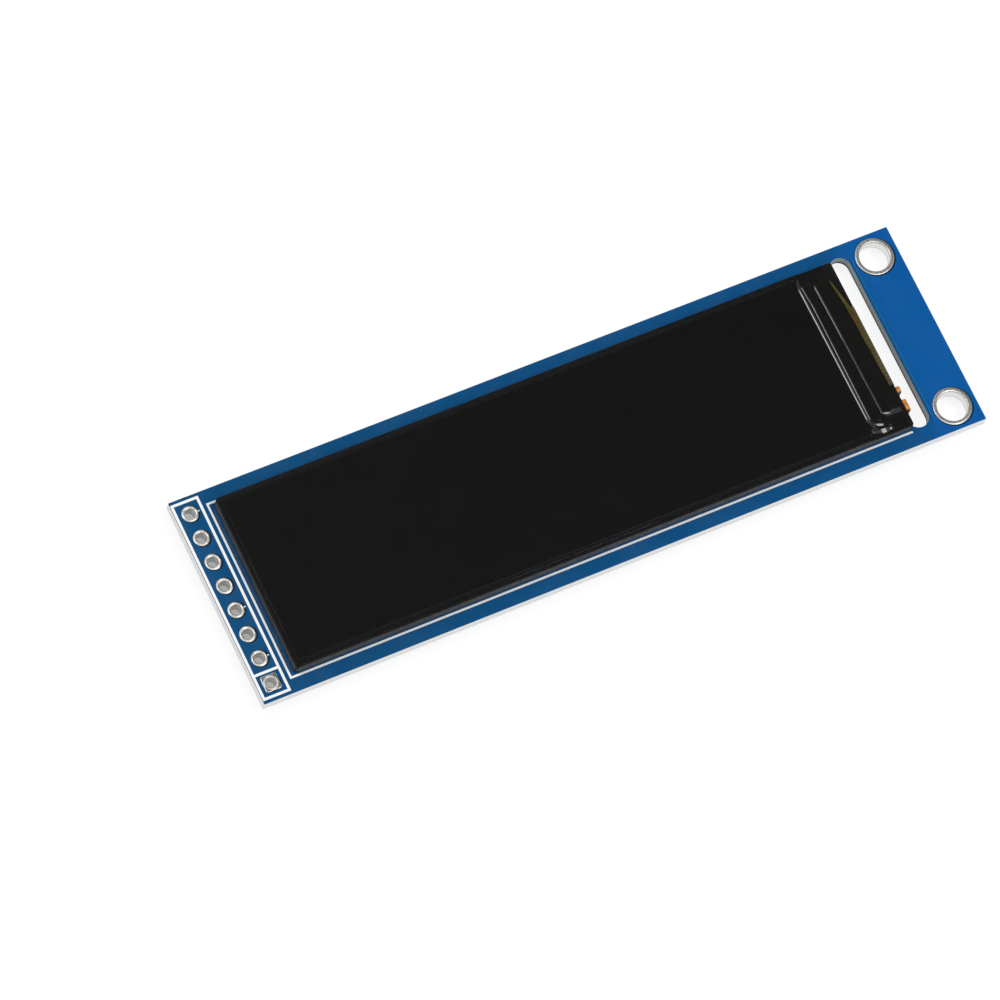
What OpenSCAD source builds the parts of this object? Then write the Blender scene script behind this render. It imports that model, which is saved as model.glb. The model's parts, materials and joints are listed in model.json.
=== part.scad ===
// Small colour display module: a long narrow panel on a circuit board.
// Millimetres. +X runs from the header end to the mounting-hole end, +Z is the viewing side.
// The origin is under the middle of the board, on the surface that the module lies on.

/* [Header] */
// Number of header holes
pin_count = 8; // [4:1:12]
// Pitch of the header holes
pin_pitch = 2.54; // [2.2:0.01:3]
// Bore of a plated header hole
pad_hole_d = 1; // [0.8:0.05:1.2]
// Width of the tinned ring around a header hole
pad_rim = 0.3; // [0.2:0.05:0.4]

/* [Printed lines] */
// Thickness of the printed lines
print_t = 0.03; // [0.02:0.01:0.05]
// Width of the line printed around the header
header_line_w = 0.25; // [0.2:0.05:0.4]
// Setback of that line from the board's edge
header_line_setback = 0.04; // [0.02:0.02:0.4]
// Width of the header's printed box, between line centres
header_box_w = 2.55; // [2.5:0.05:3.5]
// Distance from the first header hole to the line that sets it apart
first_pin_gap = 1.12; // [1.05:0.01:1.4]
// Clear gap between the header's box and the panel's printed line
box_gap = 0.38; // [0.2:0.02:2]
// Width of the line printed around the panel
panel_line_w = 0.2; // [0.16:0.02:0.3]
// Clear gap between the panel's end and its printed line
panel_line_end_gap = 0.38; // [0.1:0.02:1]
// Clear gap between the panel's side and its printed line
panel_line_side_gap = 0.12; // [0:0.01:0.4]
// Length by which the side lines stop short of the panel's cable end
panel_line_short = 0.15; // [0:0.05:2]

/* [Board] */
// Thickness of the laminate
board_t = 1.2; // [0.8:0.1:1.6]
// Bare board between the header's box and each long edge
header_side_margin = 0.44; // [0.3:0.02:3]
// Bare board between the panel and each long edge
panel_side_margin = 1.65; // [1.3:0.05:5]
// Wall of the tinned barrel in a plated hole
barrel_t = 0.05; // [0.03:0.01:0.12]
// Thickness of a tinned pad on the board's face
pad_t = 0.05; // [0.03:0.01:0.08]
// Thickness of the tinned lands on the back
land_t = 0.03; // [0.02:0.01:0.05]

/* [Mounting holes] */
// Bore of a mounting hole
hole_d = 3; // [2:0.1:3.6]
// Width of the tinned ring around a mounting hole
hole_rim = 0.4; // [0.3:0.05:0.8]
// Bare board between a ring and the end of the board
hole_end_gap = 0.55; // [0.3:0.05:3]
// Bare board between a ring and the long edge
hole_side_gap = 0.45; // [0.3:0.05:2]
// Bare board between a ring and the cable slot
hole_slot_gap = 0.6; // [0.3:0.05:4]

/* [Cable slot] */
// Width of the slot
slot_w = 2.15; // [1.6:0.05:4]
// Length of the slot past each side of the panel
slot_over = 0.3; // [0.1:0.05:0.6]
// Offset of the slot across the board
slot_shift = 0.2; // [-0.4:0.05:0.4]
// Gap between the panel's end and the slot
panel_slot_gap = 0; // [0:0.05:0.5]

/* [Backlight] */
// Length of the panel
panel_l = 64.1; // [50:0.1:80]
// Width of the panel
panel_w = 17.9; // [16:0.1:24]
// Wall of the frame beside the glass
frame_wall = 0.3; // [0.2:0.05:0.6]
// Ledge of the frame under the glass
frame_ledge = 0.5; // [0.4:0.05:1.2]
// Radius of the frame's corners
frame_corner_r = 0.3; // [0.1:0.05:0.6]
// Depth of the frame's rim below the upper glass's face
frame_drop = 0.03; // [0:0.01:0.2]
// Clearance of the sheets, the glass and the lamps in the frame
part_clear = 0.05; // [0.03:0.01:0.12]
// Thickness of the adhesive sheet under the panel
mount_tape_t = 0.1; // [0.05:0.05:0.5]
// Setback of the adhesive sheet from the panel's outline
mount_tape_setback = 0.5; // [0.3:0.1:0.8]
// Thickness of the reflector sheet
reflector_t = 0.06; // [0.04:0.01:0.1]
// Thickness of the light guide
guide_t = 0.4; // [0.3:0.05:0.8]
// Thickness of the diffuser film
diffuser_t = 0.06; // [0.04:0.01:0.1]
// Thickness of each prism film
prism_t = 0.06; // [0.04:0.01:0.1]
// Length of a locating ear of the light guide
ear_l = 1.5; // [0.8:0.1:3]
// Width of a locating ear of the light guide
ear_w = 0.35; // [0.2:0.05:0.4]
// Distance of the ears from the ends of the frame's window
ear_inset = 10; // [4:1:16]

/* [Lamps] */
// Number of lamps at the guide's end
led_count = 3; // [2:1:4]
// Length of a lamp along the guide's end
led_l = 3; // [1.6:0.1:3.4]
// Depth of a lamp
led_d = 0.8; // [0.5:0.1:1.2]
// Thickness of the lamps' flexible strip
led_flex_t = 0.1; // [0.06:0.01:0.12]
// Width of that strip, along the panel
led_flex_w = 2.2; // [1.6:0.1:3]
// Width of the strip's tail
tail_w = 2.5; // [2:0.1:3]
// Width of the prong at the far side of the tail's window
tail_prong_w = 0.55; // [0.3:0.05:0.8]
// Width of the tail's window
tail_window_w = 0.85; // [0.5:0.05:1]
// Gap between the tail and the neck of the flex cable
tail_gap = 0.15; // [0.1:0.05:0.5]
// Distance from the slot's panel-side edge to the tail's outer face
tail_reach = 0.75; // [0.5:0.05:1]
// Bend radius of the tail
tail_bend_r = 0.5; // [0.15:0.05:0.6]
// Drop of the tail below the board, where it turns back
tail_sag = 0.7; // [0.6:0.05:0.9]
// Length of the tail along the back, from the slot
tail_back_l = 5; // [4.2:0.1:8]

/* [Glass] */
// Thickness of each glass
glass_t = 0.25; // [0.2:0.05:0.5]
// Distance from the lower glass's end to the panel's cable end
glass_end_setback = 0.4; // [0.3:0.05:0.8]
// Length of the ledge, where the upper glass leaves the lower one bare
ledge_l = 3.7; // [3.2:0.1:5]
// Thickness of the rim tape under the glass
rim_tape_t = 0.05; // [0.03:0.01:0.1]
// Width of the rim tape
rim_tape_w = 1.1; // [0.9:0.1:1.6]
// Thickness of the rear polarizer
rear_polarizer_t = 0.11; // [0.08:0.01:0.2]
// Setback of the rear polarizer from the glass
rear_polarizer_setback = 0.3; // [0.1:0.05:0.6]
// Thickness of the front polarizer
front_polarizer_t = 0.15; // [0.1:0.01:0.25]
// Setback of the front polarizer from the glass's end
polarizer_end_setback = 0.1; // [0.05:0.05:0.6]
// Setback of the front polarizer from the glass's sides
polarizer_side_setback = 0.3; // [0.05:0.05:0.8]
// Setback of the front polarizer from the upper glass's edge at the ledge
polarizer_ledge_setback = 0.3; // [0.2:0.05:0.8]

/* [Ledge] */
// Length of the driver chip, across the panel
chip_l = 14.2; // [8:0.1:14.8]
// Width of the driver chip
chip_w = 0.9; // [0.6:0.05:1]
// Height of the driver chip
chip_h = 0.2; // [0.15:0.01:0.24]
// Gap between the upper glass and the driver chip
chip_gap = 0.35; // [0.3:0.05:0.5]
// Thickness of the cover tape
cover_t = 0.05; // [0.03:0.01:0.08]
// Gap between the front polarizer and the cover tape
cover_gap = 0.03; // [0.01:0.01:0.1]
// Slack of the cover tape at the edges that it bends over
cover_slack = 0.05; // [0.04:0.01:0.07]
// Run of the cover tape down from a step
cover_run = 0.15; // [0.1:0.01:0.16]
// Dip of the cover tape between the upper glass and the chip
cover_dip = 0.07; // [0.03:0.01:0.1]
// Setback of the cover tape from the panel's sides
cover_side_setback = 0.05; // [0:0.05:0.3]
// Setback of the cover tape from the lower glass's end
cover_end_setback = 0.3; // [0:0.05:0.5]
// Bend radius of the cover tape
cover_bend_r = 0.05; // [0.03:0.01:0.07]

/* [Flex cable] */
// Thickness of the cable
flex_t = 0.08; // [0.06:0.01:0.12]
// Length of the cable's bond on the ledge
flex_bond_l = 2; // [1.4:0.1:2.1]
// Distance from the panel's far side to the cable
flex_far_margin = 1.75; // [1:0.05:3]
// Distance from the panel's near side to the cable
flex_near_margin = 2.35; // [1:0.05:3]
// Width that the cable's neck loses at its near side
neck_cut = 2.1; // [1.8:0.1:3]
// Width that the cable's neck loses at its far side
neck_far_cut = 3.1; // [1:0.1:4]
// Distance from the lower glass's end back to where the neck starts
neck_setback = 0.5; // [0.3:0.05:0.8]
// Run of the neck's slanted far shoulder, along the cable
neck_slant = 0.6; // [0.3:0.05:0.8]
// Gap between the cable and the slot's panel-side edge
flex_slot_gap = 0.03; // [0.02:0.01:0.12]
// Bend radius of the cable
flex_bend_r = 0.3; // [0.2:0.05:0.35]
// Drop of the cable below the board, where it turns back
flex_sag = 0.45; // [0.35:0.05:0.6]
// Distance from the slot to where the cable lies on the board's back
flex_rejoin_l = 2.4; // [1.8:0.1:3.2]
// Length of the cable on the back, from the lamp tail's end to its shoulders
flex_wide_l = 3; // [1.5:0.1:5]
// Length of the cable's narrow soldering end, past the shoulders
flex_end_l = 4; // [2:0.5:8]
// Cable past the outermost solder joints
flex_end_side = 0.5; // [0.3:0.05:0.6]
// Number of soldered conductors at the cable's end
joint_count = 13; // [8:1:15]
// Pitch of the soldered conductors
joint_pitch = 0.8; // [0.6:0.05:0.85]
// Width of a solder joint
joint_w = 0.45; // [0.3:0.05:0.5]
// Length of a land past the cable's end
joint_l = 0.9; // [0.6:0.1:1.4]
// Length of a solder joint on the cable
joint_over = 0.6; // [0.3:0.1:1]
// Height of a solder joint above the cable
joint_h = 0.12; // [0.08:0.01:0.2]

/* [Small parts on the back] */
// Length of a three-lead body
sot_l = 2.9; // [2.6:0.1:3.1]
// Width of a three-lead body
sot_w = 1.3; // [1.2:0.1:1.7]
// Height of a three-lead body
sot_h = 1.05; // [0.95:0.05:1.3]
// Gap between a three-lead body and its lands
sot_standoff = 0.06; // [0.04:0.01:0.1]
// Straight length of a lead beside the body
lead_shoulder = 0.2; // [0.15:0.05:0.4]
// Run of a lead's slope down to the board
lead_slope = 0.2; // [0.1:0.05:0.3]
// Length of a lead's foot on its land
lead_foot = 0.2; // [0.15:0.05:0.5]
// Distance between the paired leads
sot_pitch = 1.9; // [1.7:0.05:2]
// Width of a lead
lead_w = 0.42; // [0.3:0.02:0.5]
// Thickness of a lead
lead_t = 0.12; // [0.1:0.01:0.16]
// Slope of a body's moulded sides, in degrees
sot_draft = 7; // [3:1:10]
// Length of a chip part
chip_part_l = 1.6; // [1.4:0.1:2]
// Width of a chip part
chip_part_w = 0.8; // [0.6:0.05:1]
// Height of a chip capacitor
capacitor_h = 0.8; // [0.6:0.05:0.9]
// Height of a chip resistor
resistor_h = 0.45; // [0.35:0.05:0.6]
// Length of a chip part's terminal
terminal_l = 0.3; // [0.2:0.05:0.4]
// Depth by which a chip part's body lies inside its terminals
body_relief = 0.03; // [0.02:0.01:0.05]
// Tinned land past each side of a lead or terminal
land_margin = 0.1; // [0.05:0.05:0.15]
// Tinned land past the tip of a lead or terminal
land_toe = 0.35; // [0.2:0.05:0.5]
// Distance from the board's header end to the regulator
regulator_inset = 11; // [9:0.5:14]
// Distance from the cable's joints to the transistor
transistor_inset = 6; // [5.5:0.5:9]
// Distance of the two groups of parts from the board's long axis
part_row_y = 3.5; // [2.5:0.25:5]
// Distance between neighbouring parts of a group
part_pitch = 3.2; // [3:0.1:4]

/* [Hidden] */
$fn = 64;
// Overshoot of a cutting solid past the faces that it cuts through
cut = 1;
// Straight pieces in a rounded bend
bend_steps = 6;

// Header and its printed box
pad_d = pad_hole_d + 2 * pad_rim;
header_l = pin_count * pin_pitch;
first_pin_y = -(pin_count - 1) * pin_pitch / 2;
box_inset = header_line_setback + header_line_w / 2;

// Lengths along the board, chained from the header end
panel_line_inset = box_inset + header_box_w + header_line_w / 2 + box_gap + panel_line_w / 2;
panel_inset = panel_line_inset + panel_line_w / 2 + panel_line_end_gap;
ring_d = hole_d + 2 * hole_rim;
tail_end_l = hole_end_gap + ring_d + hole_slot_gap;
board_l = panel_inset + panel_l + panel_slot_gap + slot_w + tail_end_l;
header_board_w = header_l + 2 * header_side_margin;
panel_board_w = panel_w + 2 * panel_side_margin;
board_w = max(header_board_w, panel_board_w);
board_x0 = -board_l / 2;
pad_x = board_x0 + box_inset + header_box_w / 2;
panel_line_x = board_x0 + panel_line_inset;
panel_line_y = panel_w / 2 + panel_line_side_gap + panel_line_w / 2;
panel_x0 = board_x0 + panel_inset;
panel_x1 = panel_x0 + panel_l;
slot_x0 = panel_x1 + panel_slot_gap;
slot_l = panel_w + 2 * slot_over;
hole_x = board_l / 2 - hole_end_gap - ring_d / 2;
hole_y = board_w / 2 - hole_side_gap - ring_d / 2;

// Outlines inside the panel
inner_wall = frame_wall + frame_ledge;
cavity_x0 = panel_x0 + inner_wall;
cavity_x1 = panel_x1 - inner_wall;
cavity_w = panel_w - 2 * inner_wall;
sheet_x0 = cavity_x0 + part_clear;
sheet_w = cavity_w - 2 * part_clear;
led_x1 = cavity_x1 - part_clear;
led_x0 = led_x1 - led_d;
guide_x1 = led_x0 - part_clear;
led_flex_x0 = led_x1 - led_flex_w;
film_x1 = led_flex_x0 - part_clear;
glass_x0 = panel_x0 + frame_wall + part_clear;
glass_x1 = panel_x1 - glass_end_setback;
glass_w = panel_w - 2 * frame_wall - 2 * part_clear;
upper_glass_x1 = glass_x1 - ledge_l;
polarizer_x0 = glass_x0 + polarizer_end_setback;
polarizer_x1 = upper_glass_x1 - polarizer_ledge_setback;
polarizer_w = glass_w - 2 * polarizer_side_setback;
chip_x0 = upper_glass_x1 + chip_gap;
chip_x1 = chip_x0 + chip_w;

// Flex cable and lamp tail across the board
flex_x0 = glass_x1 - flex_bond_l;
flex_y0 = -panel_w / 2 + flex_near_margin;
flex_y1 = panel_w / 2 - flex_far_margin;
neck_x0 = glass_x1 - neck_setback;
neck_y0 = flex_y0 + neck_cut;
neck_y1 = flex_y1 - neck_far_cut;
tail_y1 = neck_y0 - tail_gap;
tail_y0 = tail_y1 - tail_w;
window_y1 = tail_y1 - tail_prong_w;
flex_rejoin_x = slot_x0 - flex_rejoin_l;
flex_drop_x = slot_x0 + flex_slot_gap + flex_t / 2;
tail_drop_x = slot_x0 + tail_reach - led_flex_t / 2;
tail_rejoin_x = flex_rejoin_x - flex_slot_gap;
tail_end_x = slot_x0 - tail_back_l;
flex_shoulder_x = tail_end_x - flex_wide_l;
flex_end_x = flex_shoulder_x - flex_end_l;
flex_mid_y = (flex_y0 + flex_y1) / 2;
flex_end_w = (joint_count - 1) * joint_pitch + joint_w + 2 * flex_end_side;

// Width across the leads of a three-lead body
sot_span = sot_w + 2 * (lead_shoulder + lead_slope + lead_foot);

// Heights, stacked from the surface that the module lies on
sot_total_h = land_t + sot_standoff + sot_h;
board_z0 = max(sot_total_h, tail_sag + led_flex_t);
board_z1 = board_z0 + board_t;
mount_tape_z1 = board_z1 + mount_tape_t;
reflector_z1 = mount_tape_z1 + reflector_t;
guide_z1 = reflector_z1 + guide_t;
diffuser_z1 = guide_z1 + diffuser_t;
lower_prism_z1 = diffuser_z1 + prism_t;
upper_prism_z1 = lower_prism_z1 + prism_t;
led_flex_z1 = guide_z1 + led_flex_t;
ledge_z = max(upper_prism_z1, led_flex_z1);
rim_tape_z1 = ledge_z + rim_tape_t;
rear_polarizer_z1 = rim_tape_z1 + rear_polarizer_t;
tft_z1 = rear_polarizer_z1 + glass_t;
filter_z1 = tft_z1 + glass_t;
chip_z1 = tft_z1 + chip_h;
flex_z1 = tft_z1 + flex_t;
frame_z1 = filter_z1 - frame_drop;

// Places of the parts on the back: x, y and turn
regulator_spot = [board_x0 + regulator_inset, part_row_y, 0];
transistor_spot = [flex_end_x - transistor_inset, -part_row_y, 180];
capacitor_spots = [
    regulator_spot + [-part_pitch, 0, 90],
    regulator_spot + [part_pitch, 0, 90],
    [transistor_spot.x, part_row_y, 0]
];
resistor_spots = [
    [transistor_spot.x - part_pitch, -part_row_y, 90],
    [transistor_spot.x + part_pitch, -part_row_y, 90],
    [transistor_spot.x - part_pitch, part_row_y, 90]
];

// Vector helpers for bent strips
function unit(v) = v / norm(v);
function left_of(v) = [-v.y, v.x];
function turned(v, angle) = [v.x * cos(angle) - v.y * sin(angle), v.x * sin(angle) + v.y * cos(angle)];

// Points of the arc of radius r that rounds the corner b of the path a, b, c
function bend(a, b, c, r) =
    let (u = unit(b - a), v = unit(c - b))
    let (angle = atan2(cross(u, v), u * v))
    let (start = b - u * r * tan(abs(angle) / 2))
    let (arm = -left_of(u) * r * sign(angle))
    [for (i = [0 : bend_steps]) start - arm + turned(arm, angle * i / bend_steps)];

// The path through the points, with every inner corner rounded to radius r
function rounded_path(points, r) =
    let (last = len(points) - 1)
    let (inner = [for (i = [1 : last - 1]) each bend(points[i - 1], points[i], points[i + 1], r)])
    concat([points[0]], inner, [points[last]]);

// The mitre at point i of a path: the step from it to a parallel at unit distance on its left
function mitre(path, i) =
    let (last = len(path) - 1)
    let (before = left_of(unit(path[max(i, 1)] - path[max(i, 1) - 1])))
    let (after = left_of(unit(path[min(i, last - 1) + 1] - path[min(i, last - 1)])))
    (before + after) / (1 + before * after);

// Outline of a strip of thickness t along a path
function strip_outline(path, t) =
    let (last = len(path) - 1)
    concat(
        [for (i = [0 : last]) path[i] + mitre(path, i) * t / 2],
        [for (i = [last : -1 : 0]) path[i] - mitre(path, i) * t / 2]
    );

// A flat bar between two corners
module bar(low, high) {
    translate(low) cube(high - low);
}

// A sheet centred on the X axis, from x0 to x1 and from z0 to z1
module sheet(x0, x1, w, z0, z1) {
    bar([x0, -w / 2, z0], [x1, w / 2, z1]);
}

// A strip bent in the XZ plane along a path, from y0 to y1
module bent_strip(path, t, y0, y1) {
    translate([0, y1, 0])
        rotate([90, 0, 0])
            linear_extrude(y1 - y0) polygon(strip_outline(path, t));
}

// A plate with round corners, from its low corner
module round_plate(l, w, h, r) {
    translate([r, 0, 0]) cube([l - 2 * r, w, h]);
    translate([0, r, 0]) cube([l, w - 2 * r, h]);
    for (x = [r, l - r], y = [r, w - r])
        translate([x, y, 0]) cylinder(h = h, r = r);
}

// Puts its children on the board's back, with their +Z away from it
module on_back() {
    translate([0, 0, board_z0]) mirror([0, 0, 1]) children();
}

module at_spot(spot) {
    translate([spot.x, spot.y, 0]) rotate(spot.z) children();
}

module at_pins() {
    for (i = [0 : pin_count - 1])
        translate([pad_x, first_pin_y + i * pin_pitch, 0]) children();
}

module at_holes() {
    for (side = [-1, 1])
        translate([hole_x, side * hole_y, 0]) children();
}

// A vertical cutting cylinder through the whole board
module drill(d) {
    translate([0, 0, board_z0 - cut]) cylinder(h = board_t + 2 * cut, d = d);
}

// A plated barrel through the board, with the pads that its children draw flat at both ends
module plated_hole(bore) {
    difference() {
        union() {
            translate([0, 0, board_z0]) cylinder(h = board_t, d = bore + 2 * barrel_t);
            for (z = [board_z0 - pad_t, board_z1])
                translate([0, 0, z]) linear_extrude(pad_t) children();
        }
        drill(bore);
    }
}

module cable_slot() {
    reach = slot_l / 2 - slot_w / 2;
    translate([slot_x0 + slot_w / 2, slot_shift, 0]) {
        for (side = [-1, 1])
            translate([0, side * reach, 0]) drill(slot_w);
        bar([-slot_w / 2, -reach, board_z0 - cut], [slot_w / 2, reach, board_z1 + cut]);
    }
}

module printed_circuit_board() {
    color("royalblue") difference() {
        sheet(board_x0, -board_x0, board_w, board_z0, board_z1);
        at_pins() drill(pad_hole_d + 2 * barrel_t);
        at_holes() drill(hole_d + 2 * barrel_t);
        cable_slot();
    }
}

module header_pads() {
    color("silver") {
        translate([pad_x, first_pin_y, 0])
            plated_hole(pad_hole_d) square(pad_d, center = true);
        for (i = [1 : pin_count - 1])
            translate([pad_x, first_pin_y + i * pin_pitch, 0])
                plated_hole(pad_hole_d) circle(d = pad_d);
    }
}

module mounting_hole_rings() {
    color("silver") at_holes() plated_hole(hole_d) circle(d = ring_d);
}

// A printed line between two points that lie along X or along Y
module printed_line(from, to, w) {
    half = [w, w] / 2;
    low = [min(from.x, to.x), min(from.y, to.y)] - half;
    high = [max(from.x, to.x), max(from.y, to.y)] + half;
    bar([low.x, low.y, board_z1], [high.x, high.y, board_z1 + print_t]);
}

module silkscreen_front() {
    x0 = board_x0 + box_inset;
    x1 = x0 + header_box_w;
    y1 = board_w / 2 - header_side_margin;
    side_x1 = panel_x1 - panel_line_short;
    color("white") {
        for (x = [x0, x1])
            printed_line([x, -y1], [x, y1], header_line_w);
        for (y = [-y1, first_pin_y + first_pin_gap, y1])
            printed_line([x0, y], [x1, y], header_line_w);
        printed_line([panel_line_x, -panel_line_y], [panel_line_x, panel_line_y], panel_line_w);
        for (side = [-1, 1])
            printed_line([panel_line_x, side * panel_line_y], [side_x1, side * panel_line_y], panel_line_w);
    }
}

module mounting_tape() {
    x0 = panel_x0 + mount_tape_setback;
    x1 = panel_x1 - mount_tape_setback;
    color("whitesmoke")
        sheet(x0, x1, panel_w - 2 * mount_tape_setback, board_z1, mount_tape_z1);
}

// The light guide's ears, grown by a clearance
module guide_ears(clear, z0, z1) {
    for (x = [cavity_x0 + ear_inset, cavity_x1 - ear_inset - ear_l])
        sheet(x - clear, x + ear_l + clear, cavity_w + 2 * ear_w - 2 * part_clear + 2 * clear, z0, z1);
}

// The glass lies in a pocket of the frame. The end wall has a window for the lamp tail
// and a notch for the cable's neck.
module backlight_frame() {
    pocket_x1 = glass_x1 + part_clear;
    color("dimgray") difference() {
        translate([panel_x0, -panel_w / 2, mount_tape_z1])
            round_plate(panel_l, panel_w, frame_z1 - mount_tape_z1, frame_corner_r);
        sheet(cavity_x0, cavity_x1, cavity_w, mount_tape_z1 - cut, frame_z1 + cut);
        guide_ears(part_clear, mount_tape_z1 - cut, ledge_z);
        sheet(panel_x0 + frame_wall, pocket_x1, panel_w - 2 * frame_wall, ledge_z, frame_z1 + cut);
        sheet(upper_glass_x1, panel_x1 + cut, panel_w + 2 * cut, tft_z1, frame_z1 + cut);
        bar(
            [cavity_x1 - cut, tail_y0 - part_clear, guide_z1],
            [panel_x1 + cut, tail_y1 + part_clear, ledge_z]
        );
        bar(
            [pocket_x1 - cut, neck_y0 - part_clear, ledge_z],
            [panel_x1 + cut, neck_y1 + part_clear, frame_z1 + cut]
        );
    }
}

module reflector_sheet() {
    color("white") sheet(sheet_x0, led_x1, sheet_w, mount_tape_z1, reflector_z1);
}

module light_guide_plate() {
    color("lightcyan") {
        sheet(sheet_x0, guide_x1, sheet_w, reflector_z1, guide_z1);
        guide_ears(0, reflector_z1, guide_z1);
    }
}

module diffuser_film() {
    color("snow") sheet(sheet_x0, film_x1, sheet_w, guide_z1, diffuser_z1);
}

module lower_prism_film() {
    color("gainsboro") sheet(sheet_x0, film_x1, sheet_w, diffuser_z1, lower_prism_z1);
}

module upper_prism_film() {
    color("lightgray") sheet(sheet_x0, film_x1, sheet_w, lower_prism_z1, upper_prism_z1);
}

module backlight_leds() {
    pitch = sheet_w / led_count;
    color("lightyellow")
        for (i = [0 : led_count - 1])
            translate([0, (i - (led_count - 1) / 2) * pitch, 0])
                sheet(led_x0, led_x1, led_l, reflector_z1, guide_z1);
}

module led_flex_strip() {
    strip_z = guide_z1 + led_flex_t / 2;
    back_z = board_z0 - flex_t - led_flex_t / 2;
    path = rounded_path(
        [
            [led_flex_x0, strip_z],
            [tail_drop_x, strip_z],
            [tail_drop_x, board_z0 - tail_sag],
            [tail_rejoin_x, back_z],
            [tail_end_x, back_z]
        ],
        tail_bend_r
    );
    color("darkorange") difference() {
        union() {
            sheet(led_flex_x0, led_x1, sheet_w, guide_z1, led_flex_z1);
            bent_strip(path, led_flex_t, tail_y0, tail_y1);
        }
        bar(
            [slot_x0 + flex_slot_gap, window_y1 - tail_window_w, board_z0],
            [slot_x0 + tail_reach + cut, window_y1, led_flex_z1 + cut]
        );
    }
}

module rim_tape() {
    window_x0 = glass_x0 + rim_tape_w;
    window_x1 = film_x1 - part_clear;
    color("black") difference() {
        sheet(glass_x0, glass_x1, glass_w, ledge_z, rim_tape_z1);
        sheet(window_x0, window_x1, glass_w - 2 * rim_tape_w, ledge_z - cut, rim_tape_z1 + cut);
    }
}

module rear_polarizer() {
    x0 = glass_x0 + rear_polarizer_setback;
    x1 = glass_x1 - rear_polarizer_setback;
    color("darkslategray")
        sheet(x0, x1, glass_w - 2 * rear_polarizer_setback, rim_tape_z1, rear_polarizer_z1);
}

module tft_glass() {
    color("lightslategray") sheet(glass_x0, glass_x1, glass_w, rear_polarizer_z1, tft_z1);
}

module colour_filter_glass() {
    color("slategray") sheet(glass_x0, upper_glass_x1, glass_w, tft_z1, filter_z1);
}

module front_polarizer() {
    color([0.08, 0.08, 0.08])
        sheet(polarizer_x0, polarizer_x1, polarizer_w, filter_z1, filter_z1 + front_polarizer_t);
}

module driver_chip() {
    color("gray") sheet(chip_x0, chip_x1, chip_l, tft_z1, chip_z1);
}

// The cover tape is drawn from the upper glass over the chip and onto the flex cable
module ledge_cover_tape() {
    half = cover_t / 2;
    dip_x = (upper_glass_x1 + chip_x0) / 2;
    dip_z = min(filter_z1, chip_z1) - cover_dip + half;
    foot_x = chip_x1 + cover_slack;
    step_x = flex_x0 - cover_slack;
    path = rounded_path(
        [
            [polarizer_x1 + cover_gap, filter_z1 + half],
            [upper_glass_x1 + cover_slack, filter_z1 + half],
            [dip_x, dip_z],
            [chip_x0 - cover_slack, chip_z1 + half],
            [foot_x, chip_z1 + half],
            [foot_x + cover_run, tft_z1 + half],
            [step_x - cover_run, tft_z1 + half],
            [step_x, flex_z1 + half],
            [glass_x1 - cover_end_setback, flex_z1 + half]
        ],
        cover_bend_r
    );
    side_y = panel_w / 2 - cover_side_setback;
    color("black") bent_strip(path, cover_t, -side_y, side_y);
}

// The cable leaves the ledge, drops through the slot and turns back along the board
module flex_cable() {
    bond_z = tft_z1 + flex_t / 2;
    back_z = board_z0 - flex_t / 2;
    end_cut = (flex_y1 - flex_y0 - flex_end_w) / 2 + cut;
    path = rounded_path(
        [
            [flex_x0, bond_z],
            [flex_drop_x, bond_z],
            [flex_drop_x, board_z0 - flex_sag],
            [flex_rejoin_x, back_z],
            [flex_end_x, back_z]
        ],
        flex_bend_r
    );
    far_side = [
        [neck_x0, flex_y1 + cut],
        [neck_x0, flex_y1],
        [neck_x0 + neck_slant, neck_y1],
        [slot_x0 + slot_w, neck_y1],
        [slot_x0 + slot_w, flex_y1 + cut]
    ];
    color("goldenrod") difference() {
        bent_strip(path, flex_t, flex_y0, flex_y1);
        bar([neck_x0, flex_y0 - cut, board_z0], [slot_x0 + slot_w, neck_y0, flex_z1 + cut]);
        translate([0, 0, board_z0])
            linear_extrude(flex_z1 + cut - board_z0) polygon(far_side);
        bar([flex_rejoin_x, flex_y0 - cut, -cut], [slot_x0 + slot_w, neck_y0, board_z0 + cut]);
        bar([flex_rejoin_x, neck_y1, -cut], [slot_x0 + slot_w, flex_y1 + cut, board_z0 + cut]);
        for (y = [flex_y0 - cut, flex_mid_y + flex_end_w / 2])
            bar([flex_end_x - cut, y, -cut], [flex_shoulder_x, y + end_cut, board_z0 + cut]);
    }
}

// One solder joint at a cable's end that lies at x = 0, with its land towards -X.
// base is the height of the land, top the height of the cable's outer face.
module solder_joint(base, top) {
    outline = [
        [0, base],
        [-joint_l, base],
        [-joint_l / 2, base + joint_h / 2],
        [0, top + joint_h],
        [joint_over, top + joint_h / 2],
        [joint_over, top],
        [0, top]
    ];
    translate([0, joint_w / 2, 0])
        rotate([90, 0, 0]) linear_extrude(joint_w) polygon(outline);
}

module at_flex_joints() {
    for (i = [0 : joint_count - 1])
        translate([flex_end_x, flex_mid_y + (i - (joint_count - 1) / 2) * joint_pitch, 0])
            children();
}

module at_tail_joints() {
    for (y = [tail_y0 + joint_w, tail_y1 - joint_w])
        translate([tail_end_x, y, 0]) children();
}

module flex_solder_joints() {
    color("silver") on_back() {
        at_flex_joints() solder_joint(land_t, flex_t);
        at_tail_joints() solder_joint(flex_t, flex_t + led_flex_t);
    }
}

// Lands of a chip part
module chip_part_lands() {
    l = terminal_l + land_toe;
    for (side = [-1, 1])
        translate([side * (chip_part_l / 2 - terminal_l + l / 2), 0, land_t / 2])
            cube([l, chip_part_w + 2 * land_margin, land_t], center = true);
}

// Places of the three leads of a small body: one at +Y, two at -Y
module at_leads() {
    for (lead = [[0, 0], [-sot_pitch / 2, 180], [sot_pitch / 2, 180]])
        translate([lead[0], 0, 0]) rotate(lead[1]) children();
}

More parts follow.
